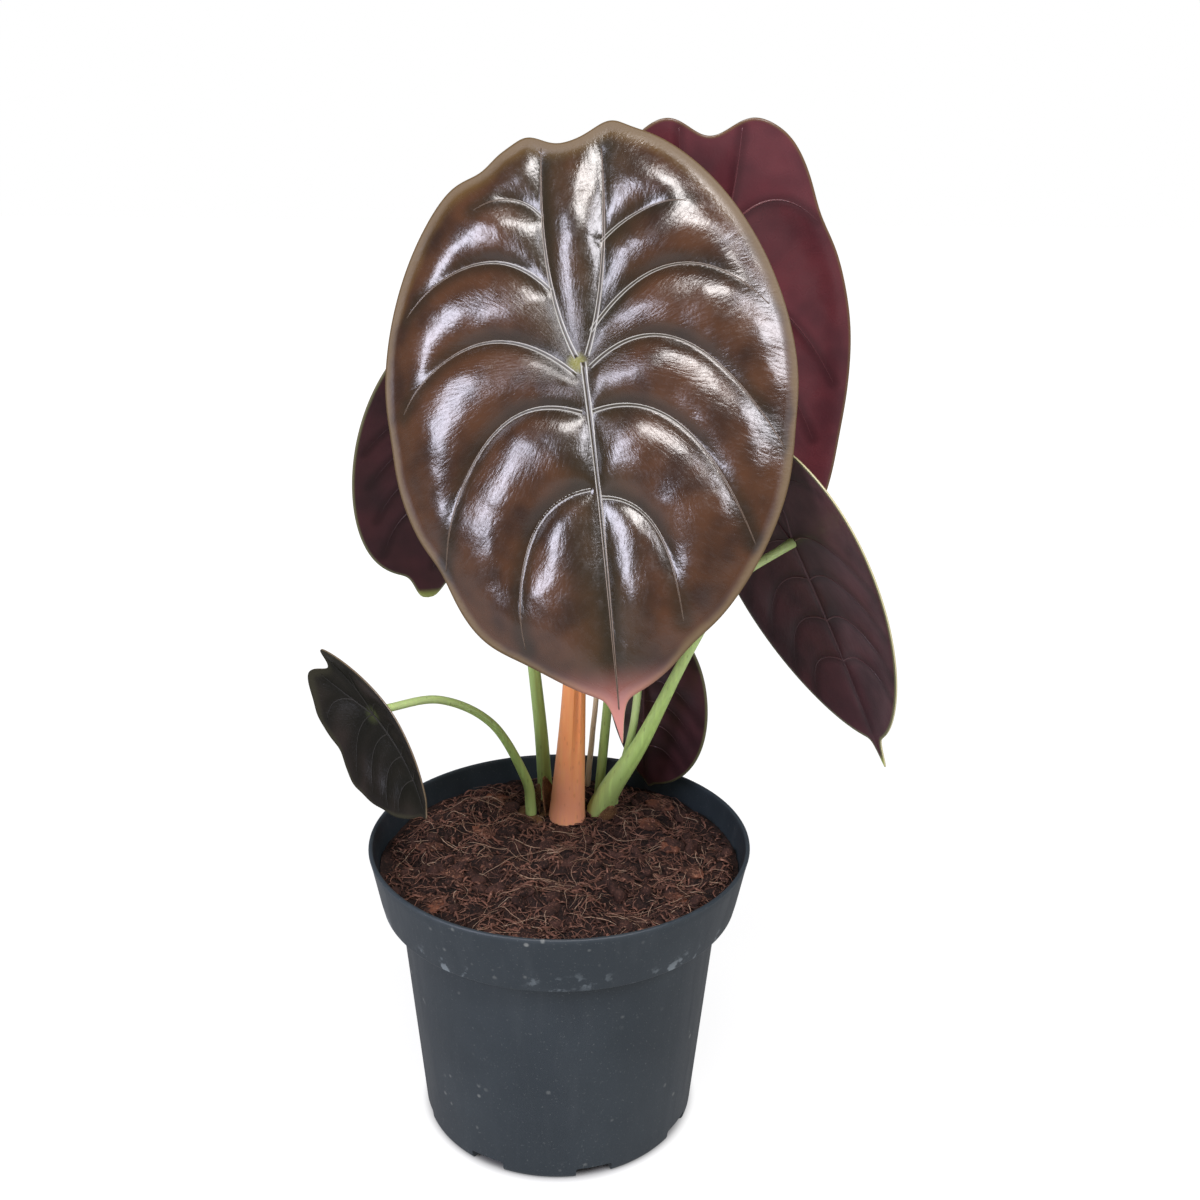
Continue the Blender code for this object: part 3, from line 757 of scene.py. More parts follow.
def make_blade(leaf, veins, blown, finishes):
    """A blade's sheet with its two sides, creased and puffed.  finishes: face, underside and edge."""
    blade = square_grid("blade_of_" + leaf.name.removeprefix("leaf_"), leaf.grid)
    angle, share = disc_places(blade)
    long, wide = outline_point(leaf, angle, share)
    apart, run = measure_veins(leaf, veins, long, wide)
    height, edge = face_height(leaf, blown, long, wide)
    base = in_space(leaf, long, wide)
    out = face_normals(leaf, long, wide)
    nearest = apart.min(axis=0)
    ripples = slow_waves(base, WAVE_SIZE, 1.0) + DIMPLE_SHARE * slow_waves(base, DIMPLE_SIZE, 2.0)
    clear = np.clip(edge / CALM_MARGIN, 0.0, 1.0) * np.clip(nearest / CALM_VEIN, 0.0, 1.0)
    height = height + leaf.puff * UNDULATION * ripples * clear
    set_points(blade, base)
    if np.array(blade.data.polygons[0].normal) @ blade_axes(leaf)[2] < 0.0:
        open_mesh(blade)
        bpy.ops.mesh.flip_normals()
        bpy.ops.object.mode_set(mode="OBJECT")
    for finish in finishes:
        blade.data.materials.append(finish)
    wall = blade.modifiers.new("blade_thickness", "SOLIDIFY")
    wall.thickness = BLADE_THICKNESS
    wall.offset = -1.0
    wall.material_offset = 1
    wall.material_offset_rim = 2
    apply_all(blade)
    upper = base + out * height[:, None]
    lower = base + out * (height - sheet_thickness(edge))[:, None]
    set_points(blade, np.concatenate((upper, lower)))
    along_vein = np.take_along_axis(run, apart.argmin(axis=0)[None, :], axis=0)[0]
    both = {
        "vein_gap": nearest, "vein_run": along_vein, "edge_gap": edge,
        "navel_gap": np.hypot(long, wide), "main_gap": apart[:3].min(axis=0), "down": long / leaf.length,
    }
    for name, values in both.items():
        store(blade, name, np.tile(values, 2))
    layer = blade.data.uv_layers.new(name="blade_plan")
    loops = np.empty(len(blade.data.loops), dtype=np.int32)
    blade.data.loops.foreach_get("vertex_index", loops)
    plan = np.tile(np.stack((long, wide), axis=1), (2, 1))
    layer.data.foreach_set("uv", plan[loops].astype(np.float32).ravel())
    smooth(blade)
    return blade


print("sheet thickness at the margin:", round(sheet_thickness(0.0) / MM, 2), "mm")

# %% [markdown]
# ### Vein cords
#
# On the face a vein is a pair of fine pale lines at the bottom of its crease, painted highlights on the
# edges of a shallow channel, and on the underside it is a rounded rib.  Both are far finer than the
# sheet's own grid, so each vein gets a slim cord of its own: a strip with a small profile, laid along
# the path on the relief.

# %% Cords on the veins
FACE_PROFILE = ((-1.0, -0.40), (-0.78, 0.10), (-0.60, 0.22), (-0.40, 0.05), (0.0, -0.05), (0.40, 0.05),
                (0.60, 0.22), (0.78, 0.10), (1.0, -0.40))
RIB_PROFILE = ((-1.0, -0.30), (-0.8, 0.35), (-0.35, 0.85), (0.0, 1.0), (0.35, 0.85), (0.8, 0.35),
               (1.0, -0.30))
CORD_STEPS = 56
CORD_TAPER = 0.82


def vein_cords(leaf, veins, blown, underside):
    """A strip along every vein, on one side of the blade."""
    profile = RIB_PROFILE if underside else FACE_PROFILE
    steps, width = CORD_STEPS, len(profile)
    share = np.linspace(0.0, 1.0, steps)
    points, faces = [], []
    for vein in veins:
        path = vein_path(leaf, vein, steps)
        step = np.gradient(path, axis=0)
        step /= np.hypot(step[:, 0], step[:, 1])[:, None]
        across = np.stack((-step[:, 1], step[:, 0]), axis=1)
        half = vein.width / 2.0 * (1.0 - CORD_TAPER * share ** 1.2)
        height, edge = face_height(leaf, blown, *path.T)
        rows = []
        for off, up in profile:
            flat = path + across * (off * half)[:, None]
            if underside:
                level = height - sheet_thickness(edge) - up * half * 0.8 + 0.05 * MM
            else:
                level = height + up * half * 0.7 + 0.10 * MM
            rows.append(in_space(leaf, *flat.T) + face_normals(leaf, *flat.T) * level[:, None])
        start = len(points) * steps * width
        points.append(np.stack(rows, axis=1).reshape(-1, 3))
        for i in range(steps - 1):
            for j in range(width - 1):
                a = start + i * width + j
                faces.append((a, a + 1, a + width + 1, a + width))
            faces.append((start + i * width + width - 1, start + i * width,
                          start + (i + 1) * width, start + (i + 1) * width + width - 1))
        faces.append(tuple(start + j for j in range(width)))
        faces.append(tuple(start + (steps - 1) * width + j for j in reversed(range(width))))
    cords = mesh_of("vein_cords", np.concatenate(points), faces)
    store(cords, "vein_run", np.tile(np.repeat(share, width), len(veins)))
    store(cords, "off_middle", np.tile(np.abs(profile)[:, 0], steps * len(veins)))
    open_mesh(cords)
    close_mesh()
    smooth(cords)
    return cords


print("blade tools ready")

# %% [markdown]
# ## Finishes of the blades
#
# The face is a dark copper brown with a metallic gleam.  Green shows along the midrib, at the navel
# above the stalk and in a band at the margin.  Very fine wrinkles, which run outwards, break up the
# gleam.  The underside is a satin maroon.

# %% Wrinkles, as a node group


def new_group(name, takes, gives):
    """An empty node group with its inputs, each a name and a kind, and its number outputs."""
    group = bpy.data.node_groups.new(name, "ShaderNodeTree")
    for socket, kind in takes:
        group.interface.new_socket(name=socket, in_out="INPUT", socket_type="NodeSocket" + kind)
    for socket in gives:
        group.interface.new_socket(name=socket, in_out="OUTPUT", socket_type="NodeSocketFloat")
    return group, group.nodes.new("NodeGroupInput").outputs, group.nodes.new("NodeGroupOutput").inputs


def wrinkle_group():
    """A node group: fine skin wrinkles that run outwards from the navel, from a blade's flat plan."""
    takes = (("Plan", "Vector"), ("Scale", "Float"))
    group, enter, leave = new_group("leaf_wrinkles", takes, ("Height", "Patches"))
    plan = enter["Plan"]
    split = put(group, "ShaderNodeSeparateXYZ", Vector=plan)
    angle = calculate(group, "ARCTAN2", split.outputs["Y"], split.outputs["X"])
    far = put(group, "ShaderNodeVectorMath", {"operation": "LENGTH"}, Vector=plan).outputs["Value"]
    bent = plus(group, times(group, noise_of(group, plan, 22.0, 1.0), 0.016), times(group, angle, 0.040))
    streak_place = put(group, "ShaderNodeCombineXYZ", X=bent, Y=times(group, far, 0.28)).outputs["Vector"]
    streaks = noise_of(group, streak_place, enter["Scale"], 3.0, 0.6, 0.4)
    pebbles = put(group, "ShaderNodeTexVoronoi", Vector=plan, Scale=1100.0).outputs["Distance"]
    group.links.new(plus(group, streaks, times(group, pebbles, 0.22)), leave["Height"])
    group.links.new(noise_of(group, plan, 60.0, 2.0), leave["Patches"])
    return group


wrinkles = wrinkle_group()


def wrinkled(tree, scale):
    """Place the wrinkle group in a material: its height and its patches."""
    plan = put(tree, "ShaderNodeUVMap", {"uv_map": "blade_plan"}).outputs["UV"]
    made = put(tree, "ShaderNodeGroup", {"node_tree": wrinkles}, Plan=plan, Scale=scale).outputs
    return made["Height"], made["Patches"]


print("group:", wrinkles.name, [socket.name for socket in wrinkles.interface.items_tree])

# %% Face, underside, edge and vein finishes


def face_finish(name, panel, deep, green, band, band_width, gloss, tip, navel):
    """The gleaming face: panels, a dim green with painted shade beside the veins, green in the middle and at
    the margin.
    """
    panel, deep, green, band, tip, navel = colours_of(panel, deep, green, band, tip, navel)
    made, tree, shader = new_material(name, 0.26, 0.30 * gloss, 0.14, 0.85 * gloss)
    skin, patches = wrinkled(tree, 1000.0)
    edge_gap = attribute(tree, "edge_gap")
    shade_by_vein = ramp(tree, attribute(tree, "vein_gap"), 0.6 * MM, 5.0 * MM, 1.0, 0.0)
    near_main = ramp(tree, attribute(tree, "main_gap"), 1.0 * MM, 16.0 * MM, 1.0, 0.0)
    colour = blend_colours(tree, ramp(tree, patches, 0.35, 0.7), panel, deep)
    colour = blend_colours(tree, times(tree, near_main, 0.60), colour, green)
    # Painted shade in the creases beside the veins, over the green that the blade has there.
    colour = blend_colours(tree, times(tree, shade_by_vein, 0.60), colour, shade(green, 0.5))
    down = attribute(tree, "down")
    wander = times(tree, calculate(tree, "SUBTRACT", patches, 0.5), 4.0 * MM)
    band_gap = times(tree, plus(tree, edge_gap, wander), ramp(tree, down, -0.30, 0.15, 0.45, 1.15))
    in_band = ramp(tree, band_gap, band_width * 0.15, band_width, 0.9, 0.0)
    colour = blend_colours(tree, in_band, colour, band)
    colour = blend_colours(tree, ramp(tree, down, 0.50, 0.62, 0.0, 0.9), colour, tip)
    at_navel = ramp(tree, attribute(tree, "navel_gap"), 0.8 * MM, 4.0 * MM, 0.7, 0.0)
    colour = blend_colours(tree, at_navel, colour, navel)
    satin = 0.13 * gloss
    rough = ramp(tree, skin, 0.45, 0.95, 0.34 - satin, 0.46 - satin)
    matt_edge = ramp(tree, edge_gap, 1.0 * MM, 5.5 * MM, 0.60, 0.0)
    coat = ramp(tree, edge_gap, 1.0 * MM, 5.0 * MM, 0.0, 0.30 * gloss)
    tree.links.new(coat, shader.inputs["Coat Weight"])
    rough = calculate(tree, "MAXIMUM", rough, matt_edge)
    finish_shader(tree, shader, colour, rough, skin, 0.13 * MM, 0.9)
    return made


def under_finish(name, main, deep, rim, tip, roughness=0.40):
    """The satin underside, with painted shade in the grooves beside the ribs, and greener at the margin."""
    main, deep, rim, tip = colours_of(main, deep, rim, tip)
    made, tree, shader = new_material(name, roughness, 0.10, 0.25, 0.36)
    skin, patches = wrinkled(tree, 600.0)
    colour = blend_colours(tree, ramp(tree, patches, 0.3, 0.75), main, deep)
    shade_by_vein = ramp(tree, attribute(tree, "vein_gap"), 0.5 * MM, 3.2 * MM, 0.55, 0.0)
    # Painted shade in the grooves beside the ribs.
    colour = blend_colours(tree, shade_by_vein, colour, shade(deep, 0.55))
    in_band = ramp(tree, attribute(tree, "edge_gap"), 0.2 * MM, 1.1 * MM, 0.55, 0.0)
    colour = blend_colours(tree, in_band, colour, rim)
    colour = blend_colours(tree, ramp(tree, attribute(tree, "down"), 0.68, 0.71, 0.0, 0.9), colour, tip)
    rough = ramp(tree, patches, 0.3, 0.8, roughness - 0.05, roughness + 0.10)
    finish_shader(tree, shader, colour, rough, skin, 0.08 * MM, 0.7)
    return made


def line_finish(name, near, far, roughness=0.35):
    """A vein or an edge: one colour near the stalk and another far out, with fine speckle."""
    near, far = colours_of(near, far)
    made, tree, shader = new_material(name, roughness, 0.3, 0.2)
    fine = noise_of(tree, places(tree), 900.0, 2.0)
    run = plus(tree, attribute(tree, "vein_run"), times(tree, fine, 0.3))
    colour = blend_colours(tree, ramp(tree, run, 0.25, 1.0), near, far)
    finish_shader(tree, shader, colour, None, fine, 0.08 * MM, 0.6)
    return made


def vein_finish(name, middle, lines, far, roughness, coat):
    """A vein of the face: a dark channel between two fine pale lines, which are painted highlights on its
    raised edges and fade outwards.
    """
    middle, lines, far = colours_of(middle, lines, far)
    made, tree, shader = new_material(name, roughness, coat, 0.2)
    fine = noise_of(tree, places(tree), 700.0, 2.0)
    off = attribute(tree, "off_middle")
    run = plus(tree, attribute(tree, "vein_run"), times(tree, fine, 0.35))
    # The pale lines are painted highlights on the raised edges of the channel, fading outwards.
    line = blend_colours(tree, ramp(tree, run, 0.30, 1.1), lines, far)
    colour = blend_colours(tree, ramp(tree, off, 0.30, 0.58), middle, line)
    colour = blend_colours(tree, ramp(tree, off, 0.78, 1.0), colour, middle)
    finish_shader(tree, shader, colour, None, fine, 0.06 * MM, 0.6)
    return made


COPPER = (76, 47, 28)
COPPER_DEEP = (47, 28, 18)
OLIVE_DARK = (46, 40, 24)
OLIVE = (96, 74, 38)
TIP_PINK = (186, 118, 108)
NAVEL_GREEN = (140, 138, 60)
MAROON = (100, 48, 54)
MAROON_DEEP = (78, 36, 43)
PLUM = (74, 42, 47)
PLUM_DEEP = (54, 31, 36)
# Painted shade: these bronze colours are a darkened copy of the face, for the small left blade, whose face
# lies in shade.
BRONZE_IN_SHADE = (42, 34, 30)
BRONZE_DEEP_IN_SHADE = (28, 24, 21)

face_copper = face_finish("face_copper", COPPER, COPPER_DEEP, OLIVE_DARK, OLIVE, 3.0 * MM, 1.0,
                          TIP_PINK, NAVEL_GREEN)
# Painted shade: a darkened copy of the copper face for the small left blade.
face_in_shade = face_finish("face_in_shade", BRONZE_IN_SHADE, BRONZE_DEEP_IN_SHADE, (28, 28, 20), (46, 44, 32), 1.5 * MM, 0.15,
                        BRONZE_DEEP_IN_SHADE, (70, 76, 44))
face_bronze = face_finish("face_bronze", (66, 43, 33), (46, 30, 24), (42, 38, 25), (76, 66, 40), 2.0 * MM,
                          0.7, (92, 60, 52), NAVEL_GREEN)
under_maroon = under_finish("under_maroon", MAROON, MAROON_DEEP, (110, 96, 60), MAROON, 0.29)
under_plum = under_finish("under_plum", PLUM, PLUM_DEEP, (120, 128, 84), (150, 160, 84))
edge_pale = line_finish("edge_pale", (178, 172, 130), (190, 182, 140))
edge_dark = line_finish("edge_dark", (96, 84, 62), (104, 88, 66))
# Painted highlights: the pale lines along the face veins.
vein_painted_highlights = vein_finish("vein_painted_highlights", (52, 44, 30), (168, 166, 160), (124, 104, 92), 0.30, 0.3)
vein_dark = vein_finish("vein_dark", (26, 24, 18), (50, 45, 38), (34, 29, 25), 0.55, 0.0)
rib_maroon = line_finish("rib_maroon", (108, 56, 60), (92, 43, 49), 0.42)
rib_plum = line_finish("rib_plum", (78, 46, 50), (60, 35, 40), 0.45)
print("blade finishes:", [m.name for m in bpy.data.materials if m.name.startswith(("face", "under", "edge"))])

# %% [markdown]
# ## The six blades
#
# The sheet and its cords are joined to one piece, because a blade with its veins grew as one.

# %% Make the blades
FINISHES = {
    "leaf_front": (face_copper, under_maroon, edge_pale, vein_painted_highlights, rib_maroon, "blade_copper"),
    "leaf_back_tall": (face_copper, under_maroon, edge_dark, vein_painted_highlights, rib_maroon, "blade_maroon"),
    "leaf_right_drooping": (face_bronze, under_plum, edge_pale, vein_dark, rib_plum, "blade_dark"),
    "leaf_left_back": (face_bronze, under_plum, edge_dark, vein_dark, rib_plum, "blade_maroon"),
    "leaf_left_small": (face_in_shade, under_plum, edge_dark, vein_dark, rib_plum, "blade_dark"),
    "leaf_back_small": (face_bronze, under_plum, edge_dark, vein_dark, rib_plum, "blade_maroon"),
}
for leaf in LEAVES:
    veins = fit_veins(leaf, FRONT_VEINS if leaf is FRONT else usual_veins(leaf.length / 0.16 * MM))
    face, under, edge, vein, rib, slot = FINISHES[leaf.name]
    blown = blow_up(leaf, veins)
    blade = make_blade(leaf, veins, blown, (face, under, edge))
    lines = vein_cords(leaf, veins, blown, False)
    lines.data.materials.append(vein)
    ribs = vein_cords(leaf, veins, blown, True)
    ribs.data.materials.append(rib)
    finish_piece(join((blade, lines, ribs), blade.name), slot, leaf.name)

# %% [markdown]
# ## Stalks
#
# A petiole is a fleshy stalk, thickest at its foot, where it sheathes the stem, with a shallow groove
# up its front.  A curve with a bevel would do, but could not groove or sheathe.  So a disc is
# extruded step by step to a straight rod, and the rod's points are then laid along the route.

# %% Routes of the stalks
PETIOLE_JOIN = 3.0 * MM
PETIOLE_RISE = 2.0 * MM
FIT_GAP = 0.3 * MM
PETIOLE_SWELL = 2.9
FRONT_FOOT = (-0.0016, -0.0065)
ROD_SIDES = 28
ROD_ROWS = 70


@dataclass
class Stalk:
    """A petiole: its blade, where its foot stands, the places it passes and its radii."""
    leaf: Leaf
    bearing: float
    gap: float
    route: tuple
    foot_radius: float
    top_radius: float
    groove: float = 0.10
    finish: str = "green"


STALKS = (
    Stalk(FRONT, 0.0, 0.0, ((0.0005, -0.008, 0.050), (0.001, -0.009, 0.100), (0.0018, -0.013, 0.135)),
          0.0062, 0.0024, 0.30, "orange"),
    Stalk(BACK_TALL, 142.6, 0.0104, ((0.0120, 0.0085, 0.035), (0.0150, 0.0070, 0.075),
          (0.0230, -0.0010, 0.115), (0.0340, -0.0010, 0.148)), 0.0017, 0.0015),
    Stalk(RIGHT_DROOPING, 103.7, 0.0007, ((0.0135, -0.006, 0.012), (0.0230, -0.009, 0.030),
          (0.0370, -0.016, 0.065), (0.0480, -0.026, 0.090)), 0.0045, 0.0014),
    Stalk(LEFT_BACK, -153.0, 0.0075, ((-0.0110, 0.0085, 0.030), (-0.0155, 0.0085, 0.070),
          (-0.0220, 0.0020, 0.115)), 0.0026, 0.0018),
    Stalk(LEFT_SMALL, -102.9, 0.0044, ((-0.0155, -0.005, 0.014), (-0.0260, -0.010, 0.036),
          (-0.0420, -0.018, 0.048)), 0.0019, 0.0013),
    Stalk(BACK_SMALL, 123.1, 0.0115, ((0.0165, 0.0020, 0.012), (0.0200, -0.0040, 0.032)), 0.0015, 0.0013),
)


def smooth_route(points, count):
    """Evenly spaced places on a smooth curve through the given ones."""
    knots = [points[0] * 2.0 - points[1]] + points + [points[-1] * 2.0 - points[-2]]
    fine = []
    for p0, p1, p2, p3 in zip(knots, knots[1:], knots[2:], knots[3:]):
        for t in np.linspace(0.0, 1.0, 24, endpoint=False):
            fine.append(0.5 * (2.0 * p1 + (p2 - p0) * t + (2.0 * p0 - 5.0 * p1 + 4.0 * p2 - p3) * t * t
                               + (3.0 * p1 - p0 - 3.0 * p2 + p3) * t ** 3))
    fine.append(points[-1])
    fine = np.array(fine)
    walked = np.concatenate(([0.0], np.cumsum(np.linalg.norm(np.diff(fine, axis=0), axis=1))))
    wanted = np.linspace(0.0, walked[-1], count)
    return np.stack([np.interp(wanted, walked, fine[:, axis]) for axis in range(3)], axis=1)


def stalk_route(stalk, count):
    """From the foot on the crown to just inside the underside of the blade."""
    leaf = stalk.leaf
    face = blade_axes(leaf)[2]
    foot = np.array(FRONT_FOOT)
    if leaf is not FRONT:
        turn = radians(stalk.bearing)
        apart = STALKS[0].foot_radius + stalk.gap + stalk.foot_radius
        foot = foot + np.array((sin(turn), -cos(turn))) * apart
    foot = CROWN + np.array((foot[0], foot[1], FIT_GAP))
    end = CROWN + np.array(leaf.attach) - face * (leaf.puff * SINK + 0.8 * BLADE_THICKNESS)
    turned = end - face * PETIOLE_JOIN
    passes = [foot + (0.0, 0.0, PETIOLE_RISE), *(CROWN + p for p in stalk.route), turned]
    return np.concatenate((foot[None, :], smooth_route(passes, count - 2), end[None, :]))


for stalk in STALKS:
    steps = np.diff(stalk_route(stalk, 64), axis=0)
    print(f"stalk of {stalk.leaf.name}: {np.linalg.norm(steps, axis=1).sum() / MM:.1f} mm long")

# %% A rod laid along a route


def make_rod(name, sides, rows):
    """A straight rod of radius 1 from height 0 to 1, extruded step by step from a disc."""
    deselect()
    bpy.ops.mesh.primitive_circle_add(vertices=sides, radius=1.0, fill_type="NGON")
    rod = bpy.context.object
    rod.name = name
    open_mesh(rod)
    for _ in range(rows):
        bpy.ops.mesh.extrude_region_move(TRANSFORM_OT_translate={"value": (0.0, 0.0, 1.0 / rows)})
    close_mesh()
    return rod


def lay_along(rod, route, radius_of):
    """Carry a straight rod's points to a route.  radius_of(share, angle) gives the radius."""
    flat = get_points(rod)
    share = np.clip(flat[:, 2], 0.0, 1.0)
    angle = np.arctan2(flat[:, 1], flat[:, 0])
    inward = np.clip(np.hypot(flat[:, 0], flat[:, 1]), 0.0, 1.0)
    step = np.gradient(route, axis=0)
    step /= np.linalg.norm(step, axis=1)[:, None]
    side = np.array((1.0, 0.0, 0.0))
    sides, backs = [], []
    for ahead_here in step:
        side = side - ahead_here * (side @ ahead_here)
        side = side / np.linalg.norm(side)
        sides.append(side)
        backs.append(np.cross(ahead_here, side))
    where = np.linspace(0.0, 1.0, len(route))

    def sample(rows):
        return np.stack([np.interp(share, where, row) for row in np.transpose(rows)], axis=1)

    radius = radius_of(share, angle) * inward
    place = sample(route) + sample(sides) * (radius * np.cos(angle))[:, None]
    place = place + sample(backs) * (radius * np.sin(angle))[:, None]
    set_points(rod, place)
    store(rod, "run", share)


def make_petiole(stalk):
    """A petiole with its swollen foot and its groove."""
    rod = make_rod("stalk_of_" + stalk.leaf.name.removeprefix("leaf_"), ROD_SIDES, ROD_ROWS)

    def radius_of(share, angle):
        swell = (stalk.foot_radius - stalk.top_radius) * (1.0 - share) ** PETIOLE_SWELL
        radius = stalk.top_radius + swell
        front = np.cos(angle + pi / 2.0 - 0.35)
        open_here = np.exp(-((share - 0.30) / 0.22) ** 2)
        groove = stalk.groove * np.exp(-((front - 1.0) / 0.03) ** 2) * open_here
        flare = 0.16 * np.exp(-((share - 1.0) / 0.02) ** 2)
        ribs = 0.006 * np.sin(angle * 9.0)
        return radius * (1.0 - groove + flare + ribs)

    lay_along(rod, stalk_route(stalk, 64), radius_of)
    smooth(rod, 50.0)
    return rod


print("rod tools ready:", ROD_SIDES, "sides and", ROD_ROWS, "rows for a stalk")

# %% [markdown]
# ### Skin of the stalks
#
# A living stalk lets some light in, so it has a little subsurface scattering, which keeps its shaded
# side warm.  Its colour changes from foot to top, which a stored value along the rod gives, and its
# streaks are a noise that is squeezed in height.

# %% Finishes of the stalks


def stalk_finish(name, foot, middle, top, speck, speck_share):
    """Fleshy skin: three colours from foot to top, long streaks, and small darker specks."""
    foot, middle, top, speck = colours_of(foot, middle, top, speck)
    made, tree, shader = new_material(name, 0.38, 0.2, 0.25)
    shader.inputs["Subsurface Weight"].default_value = 0.12
    shader.inputs["Subsurface Radius"].default_value = (0.004, 0.003, 0.0015)
    shader.inputs["Subsurface Scale"].default_value = 0.5
    streaks = noise_of(tree, places(tree, (1.0, 1.0, 0.06)), 900.0, 3.0)
    blotches = noise_of(tree, places(tree), 160.0, 2.0)
    wander = plus(tree, attribute(tree, "run"), times(tree, blotches, 0.12))
    colour = blend_colours(tree, ramp(tree, wander, 0.05, 0.30), foot, middle)
    colour = blend_colours(tree, ramp(tree, wander, 0.35, 0.95), colour, top)
    pale = times(tree, ramp(tree, streaks, 0.45, 0.7), 0.35)
    colour = blend_colours(tree, pale, colour, shade(middle, 1.5))
    specks = put(tree, "ShaderNodeTexVoronoi", Vector=places(tree, (1.0, 1.0, 0.35)), Scale=620.0)
    dark = ramp(tree, specks.outputs["Distance"], 0.10, 0.24, speck_share, 0.0)
    colour = blend_colours(tree, dark, colour, speck)
    rough = ramp(tree, streaks, 0.3, 0.8, 0.32, 0.48)
    finish_shader(tree, shader, colour, rough, streaks, 0.12 * MM, 0.7)
    return made


SKINS = {
    "green": stalk_finish("skin_green", (164, 184, 112), (168, 196, 112), (186, 206, 138),
                          (112, 124, 72), 0.4),
    "orange": stalk_finish("skin_orange", (244, 166, 130), (250, 158, 94), (228, 136, 72),
                           (190, 104, 68), 0.25),
}
for stalk in STALKS:
    rod = make_petiole(stalk)
    rod.data.materials.append(SKINS[stalk.finish])
    finish_piece(rod, "petiole_" + stalk.finish, "petiole_" + stalk.leaf.name.removeprefix("leaf_"))

# %% [markdown]
# ## The nursery pot
#
# The real pot is one thin wall of dark plastic, moulded in one shot: a tapered body, a ledge, a deep
# collar with a rounded lip, and drain openings where the wall meets the floor.  A disc is extruded,
# scaled and lifted round by round, up the outside and down the inside, and blocks then cut the
# openings.

# %% Pot sizes
POT_HEIGHT = 96.0 * MM
RIM_RADIUS = 60.0 * MM
BASE_RADIUS = 43.9 * MM
POT_WALL = 1.4 * MM
POT_FLOOR = 1.8 * MM
COLLAR_BASE = 76.4 * MM
COLLAR_RADIUS = 56.2 * MM
WALL_TOP_RADIUS = 50.9 * MM
DRAINS = 8
DRAIN_SIZE = (11.5 * MM, 20.0 * MM, 8.0 * MM)
DRAIN_OUT = 48.9 * MM
DRAIN_TURN = radians(14.5)


def rounding(radius, height, size, first, last, count=5):
    """Places on a quarter round about a middle, from one angle to another."""
    angles = np.radians(np.linspace(first, last, count))
    return [(radius + size * cos(a), height + size * sin(a)) for a in angles]


def body_radius(height):
    """Outside radius of the tapered body."""
    return BASE_RADIUS + (WALL_TOP_RADIUS - BASE_RADIUS) * height / COLLAR_BASE


def pot_profile():
    """Radius and height of each round, from the middle of the underside to the middle of the floor."""
    lip = 0.7 * MM
    profile = [(30.0 * MM, 0.9 * MM), (30.6 * MM, 0.7 * MM), (31.2 * MM, 0.0)]
    profile += rounding(body_radius(2.5 * MM) - 2.5 * MM, 2.5 * MM, 2.5 * MM, -90.0, 0.0, 7)
    profile += [(body_radius(h * MM), h * MM) for h in (8.0, 16.0, 30.0, 46.0, 62.0, 71.0)]
    profile += [(body_radius(73.4 * MM), 73.4 * MM), (body_radius(73.8 * MM) + 0.35 * MM, 73.8 * MM)]
    profile += [(WALL_TOP_RADIUS + 0.35 * MM, 75.6 * MM), (WALL_TOP_RADIUS + 0.9 * MM, COLLAR_BASE)]
    profile += rounding(COLLAR_RADIUS - 0.8 * MM, COLLAR_BASE + 0.8 * MM, 0.8 * MM, -90.0, 0.0)
    profile += [(COLLAR_RADIUS + 3.8 * MM * s, COLLAR_BASE + 19.6 * MM * s) for s in (0.2, 0.5, 0.8)]
    profile += rounding(RIM_RADIUS - lip, POT_HEIGHT - lip, lip, 0.0, 180.0, 9)
    inside = COLLAR_BASE + POT_WALL
    floor_radius = body_radius(POT_FLOOR)
    profile += [(COLLAR_RADIUS + 0.3 * MM - POT_WALL, inside + 0.8 * MM)]
    profile += [(COLLAR_RADIUS - 0.5 * MM - POT_WALL, inside)]
    profile += [(WALL_TOP_RADIUS + 0.1 * MM - POT_WALL, inside)]
    profile += [(WALL_TOP_RADIUS - 0.1 * MM - POT_WALL, inside - 0.4 * MM)]
    profile += [(floor_radius - POT_WALL, POT_FLOOR + 0.5 * MM), (floor_radius - 2.0 * MM, POT_FLOOR)]
    return profile


print("pot profile:", len(pot_profile()), "rounds")

# %% Turn the pot
POT_SIDES = 144


def next_round(radius, height, next_radius, next_height):
    """Extrude the selected round to another height and radius about the upright axis."""
    bpy.ops.mesh.extrude_region_move(TRANSFORM_OT_translate={"value": (0.0, 0.0, next_height - height)})
    grow = next_radius / radius
    bpy.ops.transform.resize(value=(grow, grow, 1.0), center_override=(0.0, 0.0, next_height))


deselect()
profile = pot_profile()
bpy.ops.mesh.primitive_circle_add(vertices=POT_SIDES, radius=profile[0][0], fill_type="NGON",
                                  location=(0.0, 0.0, profile[0][1]))
pot = bpy.context.object
pot.name = "nursery_pot_body"
bpy.ops.object.transform_apply(location=True, rotation=False, scale=False)
open_mesh(pot)
for here, there in zip(profile, profile[1:]):
    next_round(*here, *there)
close_mesh()
print("pot turned:", len(pot.data.polygons), "faces")

# %% Cut the drain openings
for i in range(DRAINS):
    turn = DRAIN_TURN + 2.0 * pi * i / DRAINS
    deselect()
    place = (DRAIN_OUT * sin(turn), -DRAIN_OUT * cos(turn), 0.0)
    bpy.ops.mesh.primitive_cube_add(size=1.0, location=place, rotation=(0.0, 0.0, turn), scale=DRAIN_SIZE)
    block = bpy.context.object
    bpy.ops.object.transform_apply(location=True, rotation=True, scale=True)
    soften = block.modifiers.new("soft_corners", "BEVEL")
    soften.width = 0.8 * MM
    soften.segments = 3
    apply_all(block)
    opening = pot.modifiers.new("drain_opening", "BOOLEAN")
    opening.operation = "DIFFERENCE"
    opening.solver = "EXACT"
    opening.object = block
    apply_all(pot)
    bpy.data.objects.remove(block, do_unlink=True)
smooth(pot, 32.0)
pot_box = get_points(pot)
print("pot measures", (pot_box.max(axis=0) - pot_box.min(axis=0)).round(4))
